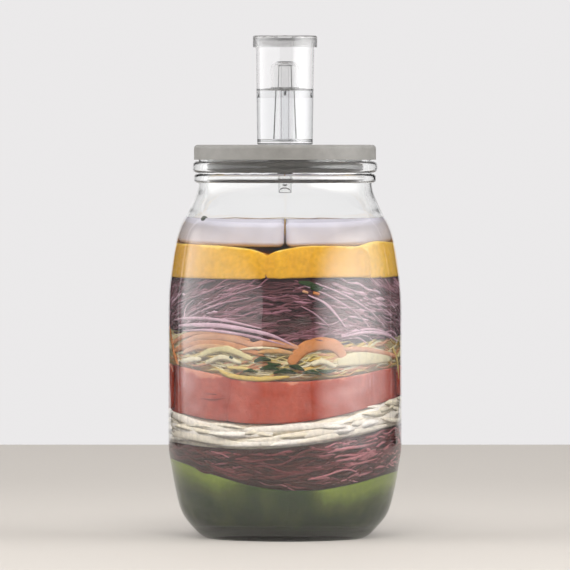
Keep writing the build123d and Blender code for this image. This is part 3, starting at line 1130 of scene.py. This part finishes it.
def shredded(
    name, node, material, depth=2.2, density=60000.0, seed=1, tilt=0.25, sizes=(0.7, 1.2), trim=1.0,
    arch=0.0, tones=(0.0, 1.0), shapes=thin_shreds,
):
    """A layer's shreds as one plain mesh made by the node tree."""
    band = wall_band(name + "_band", node, depth, trim, arch)
    laying = band.modifiers.new("lay_shreds", "NODES")
    laying.node_group = lay_shreds
    wanted = {
        "Shapes": shapes, "Density": density, "Seed": seed, "Tilt": tilt, "Material": material,
        "Least Size": sizes[0], "Most Size": sizes[1],
        "Least Tone": tones[0], "Most Tone": tones[1],
    }
    for socket in lay_shreds.interface.items_tree:
        if socket.in_out == "INPUT" and socket.name in wanted:
            laying[socket.identifier] = wanted[socket.name]
    graph = bpy.context.evaluated_depsgraph_get()
    mesh = bpy.data.meshes.new_from_object(band.evaluated_get(graph))
    bpy.data.objects.remove(band)
    mesh.name = name
    mesh.materials.clear()
    mesh.materials.append(material)
    mesh.polygons.foreach_set("use_smooth", [True] * len(mesh.polygons))
    return object_from(name, mesh)


print("shreds lie", shredded.__defaults__[0], "mm in from the glass unless they ask for more")

# %% [markdown]
# ## Green pepper
# The bottom layer is halved green peppers, skin outwards: dark and smooth, with painted light
# on the shoulders where the halves curve in at the top. Two long slabs fill the layer, and a helper
# raises the tone near the top edge to paint that light. A second material would end in a hard line
# there; a tone fades.

# %% Green pepper at the bottom


def lit_rim(piece, node, start, end, deep, lift, soft=9.0):
    """Paint light on a piece of food by raising its tone near the top of its layer between two angles.
    """
    points, _, marks = piece
    turn = np.degrees(np.arctan2(points[:, 0], -points[:, 1]))
    below = layer_line(layer_tops[node], points[:, 0]) / MM - points[:, 2] / MM
    sides = np.clip((turn - start) / soft, 0, 1) * np.clip((end - turn) / soft, 0, 1)
    marks["tone"] = marks["tone"] + lift * sides * np.clip(1 - below / deep, 0, 1)
    return piece


green_slices = [
    slab("green_pepper_layer", -176, 2, 0.52, thick=4.5, gap=1.6, low=1, high=0.4, steps=80, blunt=30),
    slab("green_pepper_layer", -4, 181, 0.5, thick=4.5, gap=2.0, low=1, high=0.4, steps=80, blunt=30),
]
# Painted light: the tone rises near the top of each slab, on the shoulders that face the light.
lit_rim(green_slices[0], "green_pepper_layer", -150, -16, deep=16.0, lift=0.62, soft=26.0)
lit_rim(green_slices[1], "green_pepper_layer", 12, 150, deep=18.0, lift=0.7, soft=14.0)
rides_as(
    "green_pepper_layer", "green_vegetable",
    layer_core("green_pepper_core", "green_pepper_layer", green_pepper),
    pile("green_pepper_slices", green_slices, green_pepper),
)

# %% [markdown]
# ## Beetroot
# Cut beetroot is dark and packed tight, and towards the right a highlight is painted into it as a
# paler tone. Two materials would meet in a line, so the node tree lays all the shreds in one, and a
# helper raises their tone point by point round the jar. A few lighter threads, painted highlights
# too, lie over them.

# %% Beetroot shreds


def painted_light_towards(piece, lift, start, end):
    """Paint light on shreds by raising their tone round the jar, from one angle to another and beyond
    it.
    """
    tones = piece.data.attributes["tone"]
    for point in piece.data.vertices:
        turn = math.degrees(math.atan2(point.co.x, -point.co.y))
        tones.data[point.index].value += lift * min(max((turn - start) / (end - start), 0), 1)
    return piece


# Pale threads of high tone: painted highlights lying over the beetroot shreds.
beetroot_lines = (
    ([(12, 39.5), (22, 42), (33, 45.5), (41, 44)], 0.55, 0.9, 0.7, 1.0, 24, 8),
    ([(-41, 56.5), (-34, 55), (-30, 53)], 0.4, 0.8, 0.7, 0.98, 16, 8),
    ([(22, 56), (33, 58.5), (44, 59.5), (54, 61.5)], [0.5, 0.9, 0.8, 0.5], 0.9, 0.8, 0.95, 28, 8),
    ([(27, 51), (38, 52.5), (50, 56)], [0.4, 0.8, 0.5], 0.9, 0.8, 0.97, 24, 8),
    ([(34, 48), (44, 49.5), (56, 52)], [0.4, 0.7, 0.4], 0.9, 0.8, 0.93, 24, 8),
    ([(46, 57.5), (49, 57)], [0.8, 0.8], 0.9, 0.7, 1.1, 14, 8),
)
beetroot_core = layer_core("beetroot_core", "beetroot_layer", beetroot)
beetroot_shreds = shredded(
    "beetroot_shreds", "beetroot_layer", beetroot, seed=3, tilt=0.16, trim=2.2, tones=(0.0, 0.9),
)
# The shreds are painted paler towards the right, as a painted highlight.
rides_as(
    "beetroot_layer", "beetroot",
    beetroot_core,
    painted_light_towards(beetroot_shreds, 0.3, 12, 36),
    pile("beetroot_lines", slices(beetroot_lines), beetroot),
)

# %% [markdown]
# ## White cabbage
# White cabbage is cut wide and lies flat, so it reads as long soft strands with thin leaf edges.
# Narrow shreds alone looked like rope. Wide thin strips from the node tree lie behind, and long
# strands, each at its own share of the layer's height, lie over them.

# %% White cabbage


def strand(node, start, end, share, half, tone, wave=0.07):
    """A long soft strand that runs with its layer at a share of the layer's height."""
    angles, lower, upper = layer_reach(node, start, end)
    place = share + wave * np.sin(np.radians(angles * 4.1) + tone * 9)
    path = np.stack([angles, lower + (upper - lower) * place], axis=1)
    ends = [half * 0.5, half, half, half * 0.5]
    return slice_of_food(path, ends, 1.8, 0.7 + tone * 0.3, tone, 40, 12, 2.5, 6)


cabbage_strands = [strand("white_cabbage_layer", *sizes) for sizes in (
    (-86, -20, 0.82, 2.5, 0.80), (-80, -6, 0.56, 2.9, 0.95), (-78, -22, 0.26, 2.7, 0.62),
    (-30, 32, 0.76, 2.1, 0.88), (-20, 44, 0.42, 2.4, 0.72), (-34, 12, 0.18, 1.9, 0.92),
    (20, 86, 0.78, 2.6, 0.98), (32, 90, 0.44, 2.9, 0.82), (4, 64, 0.18, 2.1, 0.66),
    (95, 165, 0.7, 2.8, 0.8), (110, 185, 0.35, 2.8, 0.9),
    (172, 240, 0.72, 2.6, 0.75), (190, 262, 0.34, 2.8, 0.95),
)]
cabbage_core = layer_core(
    "white_cabbage_core", "white_cabbage_layer", white_cabbage, depth=3.6, tone=0.6,
)
cabbage_strips = shredded(
    "white_cabbage_strips", "white_cabbage_layer", white_cabbage, depth=2.0, density=17000.0,
    seed=5, tilt=0.05, sizes=(0.8, 1.2), trim=3.0, tones=(0.3, 1.0), shapes=leaf_strips,
)
rides_as(
    "white_cabbage_layer", "white_cabbage",
    cabbage_core,
    cabbage_strips,
    pile("white_cabbage_strands", cabbage_strands, white_cabbage),
)

# %% [markdown]
# ## Red pepper
# Halves of red pepper stand on end with their skin to the glass, and meet in upright gaps. Each is
# one slab with blunt ends, and its material grows paler at the cut upper edge. Two dark marks lie
# on the skin at the left.

# %% Red pepper slabs
red_slices = [
    slab("red_pepper_layer", -69, -29.5, 0.5, blunt=16),
    slab("red_pepper_layer", -30.2, 70, 0.58, gap=1.2, steps=60, blunt=24),
    slab("red_pepper_layer", 79, 140, 0.45),
    slab("red_pepper_layer", 141, 203, 0.6),
    slab("red_pepper_layer", 205, 281, 0.5),
]
dark_marks = (
    ([(-49, 89.5), (-40, 88.6), (-31, 90)], [0.3, 0.8, 0.3], 0.8, 0.7, -0.3, 24, 8),
    ([(-44, 92.4), (-37, 91.8)], [0.3, 0.5], 0.8, 0.7, -0.3, 16, 8),
)
rides_as(
    "red_pepper_layer", "red_pepper",
    layer_core("red_pepper_core", "red_pepper_layer", red_pepper, depth=6.5),
    pile("red_pepper_slabs", red_slices + slices(dark_marks), red_pepper),
)

# %% [markdown]
# ## Onion, carrot and herbs
# This layer is the liveliest: arcs of carrot and onion, a thick ring of carrot, strips of yellow
# pepper and small dark leaves. No rule gives their places, so each is a row in a table: its path
# of angles and heights, its half widths, its thickness, its gap from the glass and its tone. The
# far side is filled by chance with the same kinds of pieces, over shreds from the node tree.

# %% Arcs on the left and the right
left_arcs = (
    ([(-76, 117.5), (-54, 123.6), (-32, 123.4), (-11, 116.5)],
     [1.6, 2.6, 2.6, 1.6], 3.0, 1.3, 0.34, 40, 16, 3, 6),
    ([(-68, 121.5), (-48, 127.2), (-28, 126.4), (-9, 119.5)],
     [1.4, 2.4, 2.5, 1.4], 2.8, 1.1, 0.41, 36, 14, 3, 6),
    ([(-80, 122), (-58, 128.6), (-38, 130.2), (-18, 126)],
     [1.2, 1.7, 1.7, 1.0], 2.4, 1.2, 0.38, 36, 14, 3, 6),
    ([(-64, 117), (-49, 121), (-33, 121), (-20, 116.5)],
     [1.3, 1.7, 1.8, 1.2], 2.6, 0.9, 0.44, 36, 14, 3, 6),
    ([(-19, 122.5), (-9, 124), (1, 122.8), (9, 120)],
     [1.4, 2.4, 2.2, 1.2], 2.2, 1.1, 0.42, 32, 12, 3, 6),
    ([(-14, 118.2), (-5, 119.4), (4, 117.8)], [1.0, 1.8, 1.0], 2.0, 0.9, 0.47, 28, 12, 3, 6),
    ([(-24, 119.8), (-14, 121), (-3, 120.6)], [0.6, 0.9, 0.6], 1.6, 0.7, 0.95, 28, 12),
    ([(-49, 115.4), (-40, 119.4), (-30, 119.9), (-17, 113.9)],
     [1.6, 2.2, 2.3, 1.6], 2.6, 0.8, 0.72, 32, 14, 3, 6),
    ([(-66, 110.9), (-57, 112.9), (-48, 113.4)], [1.4, 1.8, 1.4], 2.2, 0.8, 0.95, 24, 12),
    ([(-45, 110.9), (-34, 114.9), (-23, 111.4)], [1.3, 1.7, 1.3], 2.2, 0.7, 0.92, 24, 12),
    ([(-36, 106.9), (-29, 103.5), (-13, 101.7), (2.5, 103.3)],
     [1.2, 1.5, 1.5, 1.2], 2.2, 0.6, 0.58, 32, 12, 3),
    ([(-31, 108.7), (-22, 108.1), (-15, 106.3)], [1.0, 1.2, 1.0], 1.8, 0.7, 0.62, 24, 12),
)
right_arcs = (
    ([(2.5, 110.9), (9, 119.9), (18.5, 123.7), (27, 121.9), (32, 114.9)],
     [3.4, 4.0, 4.2, 4.0, 3.2], 3.2, 1.0, 0.30, 40, 16, 3, 6),
    ([(14, 110.4), (20, 112.4), (27, 108.9)], [1.3, 1.7, 1.3], 2.2, 0.8, 0.95, 24, 12),
    ([(28, 111.9), (40, 113.9), (55, 114.4), (68, 113.9)],
     [3.0, 4.4, 4.2, 3.0], 3.0, 1.0, 0.85, 36, 16, 3, 6),
    ([(30, 119.9), (45, 119.4), (60, 116.9), (78, 113.9)],
     [1.4, 1.6, 1.6, 1.3], 2.0, 0.8, 0.40, 32, 12),
    ([(70, 119.9), (76, 113.9), (80, 105.9), (81, 98.9)], [1.2, 1.6, 1.6, 1.0], 2.0, 0.8, 0.6, 32, 12),
)
left_strip = (
    ([(-86, 132.9), (-80, 123.9), (-75, 114.9), (-70, 108.9)],
     [1.6, 2.0, 2.0, 1.6], 2.4, 0.8, 0.3, 32, 12),
)
print(len(left_arcs), "arcs on the left,", len(right_arcs), "on the right, and a strip on end")

# %% Leaves, and the bits above them
herb_leaves = (
    ([(-16, 112.4), (-12, 114.2), (-7, 113.6)], [0.8, 1.6, 0.7], 1.0, 0.6, 0.05, 20, 10),
    ([(-9, 112), (-6, 110.6), (-2, 111)], [0.7, 1.4, 0.6], 1.0, 0.5, 0.1, 20, 10),
    ([(-13, 107.8), (-8, 109), (-3, 107.6)], [0.8, 1.6, 0.7], 1.0, 0.5, 0.08, 20, 10),
    ([(-6, 105.4), (0, 106.8), (6, 105.2)], [0.7, 1.5, 0.7], 1.0, 0.5, 0.03, 20, 10),
    ([(2, 109.8), (6, 109.2), (10, 107)], [0.7, 1.7, 0.7], 1.0, 0.5, 0.02, 20, 10),
    ([(9, 105.6), (14, 106.2), (19, 104.2)], [0.7, 1.5, 0.6], 1.0, 0.6, 0.06, 20, 10),
    ([(16, 107.6), (21, 106.2), (27, 107)], [0.7, 1.3, 0.6], 1.0, 0.5, 0.11, 20, 10),
    ([(-22, 106.2), (-18, 107.2), (-14, 105.8)], [0.5, 1.1, 0.5], 1.0, 0.5, 0.12, 20, 10),
    ([(-29.5, 115.5), (-27.5, 114.5)], [0.9, 0.8], 0.9, 0.4, 0.0, 16, 10),
)
high_bits = (
    ([(7, 161.5), (12, 160.5), (18, 158.5)], [0.9, 1.7, 0.9], 1.0, 0.5, 0.07, 20, 10),
    ([(13, 158), (17, 157), (20, 158.5)], [0.8, 1.2, 0.7], 1.0, 0.5, 0.03, 20, 10),
    ([(9, 156), (12, 155)], [0.9, 0.8], 1.4, 0.5, 0.44, 16, 10),
    ([(14.5, 155), (18, 154)], [1.0, 0.9], 1.4, 0.5, 0.27, 16, 10),
)
print(len(herb_leaves), "leaves and", len(high_bits), "bits higher up")

# %% The far side, and the whole layer
chance = np.random.default_rng(11)
far_pieces, far_start, far_step = 26, 92, 6.9
onion_pieces = slices(left_arcs + right_arcs + left_strip + herb_leaves + high_bits)
for step in range(far_pieces):
    angle = far_start + step * far_step + chance.uniform(-2, 2)
    reach = chance.uniform(8, 18)
    across = path_radius * MM * math.sin(math.radians(angle))
    low = layer_line(layer_tops["onion_herb_layer"], across) / MM - chance.uniform(4, 17)
    tone = float(chance.choice([0.05, 0.26, 0.38, 0.58, 0.72, 0.85, 0.95]))
    onion_pieces.append(slice_of_food(
        [(angle - reach, low - 2), (angle, low + chance.uniform(0, 4)), (angle + reach, low - 2)],
        [1.2, chance.uniform(1.6, 3.6), 1.2], 2.4, chance.uniform(0.7, 1.4), tone, 28, 12, 3, 5,
    ))
onion_core = layer_core(
    "onion_herb_core", "onion_herb_layer", onion_and_herb, depth=6.0, tone=0.66,
)
onion_shreds = shredded(
    "onion_shreds", "onion_herb_layer", onion_and_herb, depth=2.9, density=52000.0,
    seed=8, tilt=0.4, sizes=(0.7, 1.2), trim=2.4, tones=(0.36, 1.0),
)
rides_as(
    "onion_herb_layer", "onion_and_herb",
    onion_core,
    onion_shreds,
    pile("onion_and_herb_pieces", onion_pieces, onion_and_herb),
)

# %% [markdown]
# ## Red cabbage
# Fine shreds of red cabbage lie in an arch, and long pale ribs run through them. Both sides are
# painted paler than the middle, as painted light where the lamps light the food more. The node
# tree lays the shreds along the band's arched flow, the helper lifts their tone on each side to
# paint that light, and the ribs are a table of slices.

# %% Red cabbage ribs
cabbage_lines = (
    ([(-69, 133.6), (-50, 134.6), (-32, 134.1), (-9, 129.4), (5, 122.1)],
     [0.8, 1.4, 1.5, 1.2, 0.6], 1.4, 0.7, 0.98, 40, 8),
    ([(-76, 137), (-54, 138.8), (-32, 137.6), (-12, 133)], [0.5, 1.0, 1.0, 0.5], 1.2, 0.8, 0.94, 40, 8),
    ([(-64, 130.8), (-42, 131.4), (-20, 128.6), (0, 123)], [0.5, 0.9, 0.9, 0.5], 1.0, 0.8, 0.93, 36, 8),
    ([(12, 153.5), (22, 147.5), (33.5, 132.5)], [0.5, 0.8, 0.5], 1.0, 0.7, 1.0, 30, 8),
    ([(10, 159.5), (24, 152.5), (40, 141.5), (50, 131.5)], [0.4, 0.6, 0.4], 1.0, 0.8, 0.9, 34, 8),
    ([(16, 161), (32, 153.5), (50, 142.5), (62, 132.5)], [0.4, 0.6, 0.4], 1.0, 0.8, 0.95, 34, 8),
    ([(26, 161), (43, 153.5), (61, 143.5)], [0.4, 0.6, 0.4], 1.0, 0.9, 0.88, 34, 8),
    ([(8, 147), (16, 141.5), (25, 132)], [0.4, 0.5, 0.4], 1.0, 0.8, 0.85, 30, 8),
    ([(-12, 159), (-34, 151.5), (-62, 140)], [0.4, 0.6, 0.4], 1.0, 0.9, 0.86, 34, 8),
    ([(-18, 152), (-38, 147), (-66, 136)], [0.4, 0.6, 0.4], 1.0, 0.9, 0.9, 34, 8),
    ([(-30, 160), (-50, 153), (-70, 148)], [0.4, 0.5, 0.4], 1.0, 0.9, 0.84, 34, 8),
    ([(-54, 150), (-60, 146), (-62, 140), (-57, 136)], [0.4, 0.5, 0.5, 0.4], 1.0, 0.7, 0.95, 30, 8),
    ([(30, 127.6), (45, 130.1), (62, 128.6), (78, 123.6)], [0.6, 1.1, 1.0, 0.6], 1.4, 0.7, 1.0, 36, 8),
    ([(34, 130.1), (50, 132.1), (70, 127.6)], [0.4, 0.8, 0.4], 1.2, 0.8, 0.97, 36, 8),
)
print(len(cabbage_lines), "pale ribs")

# %% Red cabbage shreds
red_shreds = shredded(
    "red_cabbage_shreds", "red_cabbage_layer", red_cabbage, depth=2.2, density=60000.0,
    seed=13, tilt=0.3, trim=2.4, arch=0.4, tones=(0.0, 0.80),
)
# Painted light: the shreds grow paler on both sides of the middle.
painted_light_towards(red_shreds, 0.24, -14, -30)
painted_light_towards(red_shreds, 0.24, 14, 30)
rides_as(
    "red_cabbage_layer", "red_cabbage",
    layer_core("red_cabbage_core", "red_cabbage_layer", red_cabbage),
    red_shreds,
    pile("red_cabbage_lines", slices(cabbage_lines), red_cabbage),
)

# %% [markdown]
# ## Orange pepper
# Slabs of orange pepper close the food off under the stones. At the front the ends of two slabs
# curve down and leave a dent, in which the core behind has to sink too, or it would fill the gap.
# The core is given a dark tone, which paints the shade under the stones.

# %% Orange pepper on top


def dent_front(core, deep, wide=14.0, centre=-4.0):
    """Lower the top of a layer's core at the front, where the ends of two slabs curve down."""
    top = layer_line(layer_tops["orange_pepper_layer"], 0) - 3 * MM
    for point in core.data.vertices:
        turn = math.degrees(math.atan2(point.co.x, -point.co.y)) - centre
        if point.co.z > top:
            point.co.z -= deep * MM * math.exp(-(turn / wide) ** 2)
    return core


front_slabs = (
    ([(-100, 173), (-70, 173.4), (-40, 173.2), (-20, 172.2), (-9.4, 170)],
     [9.8, 10.4, 10.2, 9.4, 7.0], 5.0, 0.9, 0.55, 48, 28, 7, 14),
    ([(-11, 169), (-4, 171.8), (8, 173.4), (20, 173.8), (52, 173.2)],
     [6.0, 8.6, 9.6, 9.8, 9.4], 5.0, 0.9, 0.5, 48, 28, 7, 14),
    ([(42, 172.8), (52, 173.6), (65, 174.4), (100, 173)],
     [9.0, 10.4, 11.2, 9.8], 5.0, 1.9, 0.7, 44, 28, 7, 14),
)
back_slabs = [
    slab("orange_pepper_layer", 103, 165, 0.5, high=0),
    slab("orange_pepper_layer", 167, 226, 0.6, high=0),
    slab("orange_pepper_layer", 228, 258, 0.45, high=0),
]
# The core's low tone is painted shade under the stones and behind the slabs.
orange_core = layer_core(
    "orange_pepper_core", "orange_pepper_layer", orange_pepper, depth=6.5, tone=0.2, drop=0.6,
)
rides_as(
    "orange_pepper_layer", "orange_pepper",
    dent_front(orange_core, 5.0),
    pile("orange_pepper_slices", slices(front_slabs) + back_slabs, orange_pepper),
)

# %% [markdown]
# ## The peppercorn
# One dark peppercorn has floated up and rests at the edge of the brine. A sphere is too clean for
# it, so its points are pushed in along a few crossing waves, which gives the wrinkles.

# %% One peppercorn afloat
corn_radius, corn_turn, corn_reach = 1.9 * MM, math.radians(-58), 57.5 * MM
wrinkle_depth = 0.14


def make_peppercorn():
    """A dark wrinkled peppercorn that floats at the surface of the brine, near the glass."""
    shell = bmesh.new()
    bmesh.ops.create_icosphere(shell, subdivisions=4, radius=corn_radius)
    for point in shell.verts:
        way = point.co.normalized()
        ridge = abs(math.sin(5 * way.x + 3 * way.y)) * abs(math.sin(6 * way.z + 4 * way.y + 1))
        point.co *= 1 - wrinkle_depth * ridge
    mesh = bpy.data.meshes.new("peppercorn")
    shell.to_mesh(mesh)
    shell.free()
    mesh.polygons.foreach_set("use_smooth", [True] * len(mesh.polygons))
    place = (corn_reach * math.sin(corn_turn), -corn_reach * math.cos(corn_turn), brine_level)
    mesh.transform(Matrix.Translation(place))
    mark_points(mesh, "tone", [0.02] * len(mesh.vertices))
    mesh.materials.append(onion_and_herb)
    corn = object_from("peppercorn", mesh)
    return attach(corn, "jar")


print("peppercorn:", len(make_peppercorn().data.polygons), "faces")

# %% [markdown]
# ## The table and the wall
# The jar stands on a pale table against a pale wall. The wall is the world itself, dim behind the
# camera and bright in front of it, so the glass has something to show at its edges. Seen through
# glass it is a little brighter, which makes up for the light that many clear faces turn away.

# %% Table and wall
dim_room, bright_wall, glass_gain = 0.28, 0.83, 0.13


def stage_sheet(name, corners, material, hidden_from=()):
    """A flat sheet of the stage, hidden from the kinds of light rays that are named."""
    sheet = piece_from(name, corners, [(0, 1, 2, 3)], smooth=False)
    sheet.data.materials.append(material)
    for kind in hidden_from:
        setattr(sheet, "visible_" + kind, False)


def pale_table():
    """A matte pale table that ends under the wall."""
    table_paint, tree, output = new_material("table_paint")
    paint = add(tree, "ShaderNodeBsdfPrincipled", {
        "Base Color": (0.47, 0.44, 0.405, 1), "Roughness": 0.7, "Specular IOR Level": 0.2,
    })
    tree.links.new(paint.outputs[0], output.inputs["Surface"])
    stage_sheet("table", [(-3, -6, 0), (3, -6, 0), (3, 1.36, 0), (-3, 1.36, 0)], table_paint)


def pale_wall():
    """A world that is bright in front of the camera and dim behind it."""
    world = bpy.data.worlds.new("pale_room")
    scene.world = world
    world.use_nodes = True
    tree = world.node_tree
    tree.nodes.clear()
    place = add(tree, "ShaderNodeTexCoord")
    split = add(tree, "ShaderNodeSeparateXYZ", {0: place.outputs["Generated"]})
    behind = add(tree, "ShaderNodeMapRange", {
        "Value": split.outputs[1], "From Min": -0.2, "From Max": 0.75,
        "To Min": dim_room, "To Max": bright_wall,
    }, interpolation_type="SMOOTHSTEP")
    rays = add(tree, "ShaderNodeLightPath")
    through = add(tree, "ShaderNodeMath", {
        0: rays.outputs["Is Transmission Ray"], 1: glass_gain, 2: 1.0,
    }, operation="MULTIPLY_ADD")
    power = add(tree, "ShaderNodeMath", {
        0: behind.outputs["Result"], 1: through.outputs[0],
    }, operation="MULTIPLY")
    sky = add(tree, "ShaderNodeBackground", {
        "Color": (1.0, 0.985, 0.99, 1), "Strength": power.outputs[0],
    })
    tree.links.new(sky.outputs[0], add(tree, "ShaderNodeOutputWorld").inputs["Surface"])


pale_table()
pale_wall()
print("table and wall ready")

# %% [markdown]
# ## Light
# Three kinds of sheets light the jar, since one lamp can't serve both glass and food. Two panels
# show only as reflections: the broad upright bands on the glass, which grow brighter towards one
# edge. Three lamp sheets light the food and show in nothing. Two black cards give the glass its
# dark edges, without which a clear thing vanishes before a pale wall.

# %% Panels, lamps and cards


def upright(x, near, far, low, high):
    """The corners of an upright sheet beside the jar."""
    return [(x, near, low), (x, far, low), (x, far, high), (x, near, high)]


def glowing(name, inputs):
    """A material that gives light, with its tree and its emission node."""
    glow, tree, output = new_material(name)
    shine = add(tree, "ShaderNodeEmission", inputs)
    tree.links.new(shine.outputs[0], output.inputs["Surface"])
    return glow, tree, shine


def soft_panel(
    name, x, near, far, strength, soft_near, soft_far, rise=(0.0, 1.0, 1.0), high=0.8, soft_top=0.5,
):
    """A panel that shows only in the glass; it fades towards its edges and may grow brighter."""
    glow, tree, shine = glowing(name + "_glow", {})
    place = add(tree, "ShaderNodeTexCoord")
    split = add(tree, "ShaderNodeSeparateXYZ", {0: place.outputs["Object"]})
    start, end, gain = rise
    lift = add(tree, "ShaderNodeMapRange", {
        "Value": split.outputs[1], "From Min": start, "From Max": end,
        "To Min": strength, "To Max": strength * gain,
    }, interpolation_type="SMOOTHSTEP")
    power = lift.outputs["Result"]
    edges = (
        (1, near, near + soft_near), (1, far, far - soft_far),
        (2, -0.03, 0.1), (2, high, high - soft_top),
    )
    for axis, start, end in edges:
        fade = add(tree, "ShaderNodeMapRange", {
            "Value": split.outputs[axis], "From Min": start, "From Max": end,
        }, interpolation_type="SMOOTHSTEP")
        times = {0: fade.outputs["Result"], 1: power}
        power = add(tree, "ShaderNodeMath", times, operation="MULTIPLY").outputs[0]
    tree.links.new(power, shine.inputs["Strength"])
    stage_sheet(name, upright(x, near, far, 0, high), glow, ("camera", "transmission", "diffuse"))


def lamp_sheet(name, corners, colour, strength):
    """A sheet that lights the food and shows in nothing."""
    glow = glowing(name + "_glow", {"Color": (*colour, 1), "Strength": strength})[0]
    stage_sheet(name, corners, glow, ("camera", "transmission", "glossy"))


def dark_flag(name, x, near, far, high):
    """A black card that shows only as the dark edge of the glass."""
    black = glowing(name + "_black", {"Strength": 0.0})[0]
    hidden_from = ("camera", "transmission", "diffuse", "shadow")
    stage_sheet(name, upright(x, near, far, 0, high), black, hidden_from)


soft_panel("left_panel", -1.05, -2.87, 0.75, 2.5, 0.25, 0.3, rise=(-0.5, 0.25, 1.4))
soft_panel("right_panel", 1.0, -2.1, 0.72, 8.0, 1.6, 1.2)
overhead = [(-1.1, -3.0, 2.7), (1.1, -3.0, 2.7), (1.1, -1.85, 3.5), (-1.1, -1.85, 3.5)]
lamp_sheet("front_top", overhead, (1, 0.985, 0.97), 13.0)
lamp_sheet("left_fill", upright(-2.2, -2.9, 0.7, 0.15, 2.9), (1, 1, 1), 5.2)
lamp_sheet("right_fill", upright(2.2, -2.9, 0.7, 0.15, 2.9), (1, 1, 1), 5.2)
dark_flag("left_flag", -0.95, 0.78, 2.6, 0.9)
dark_flag("right_flag", 0.95, 0.72, 2.6, 0.9)
print("two panels, three lamps and two cards in place")
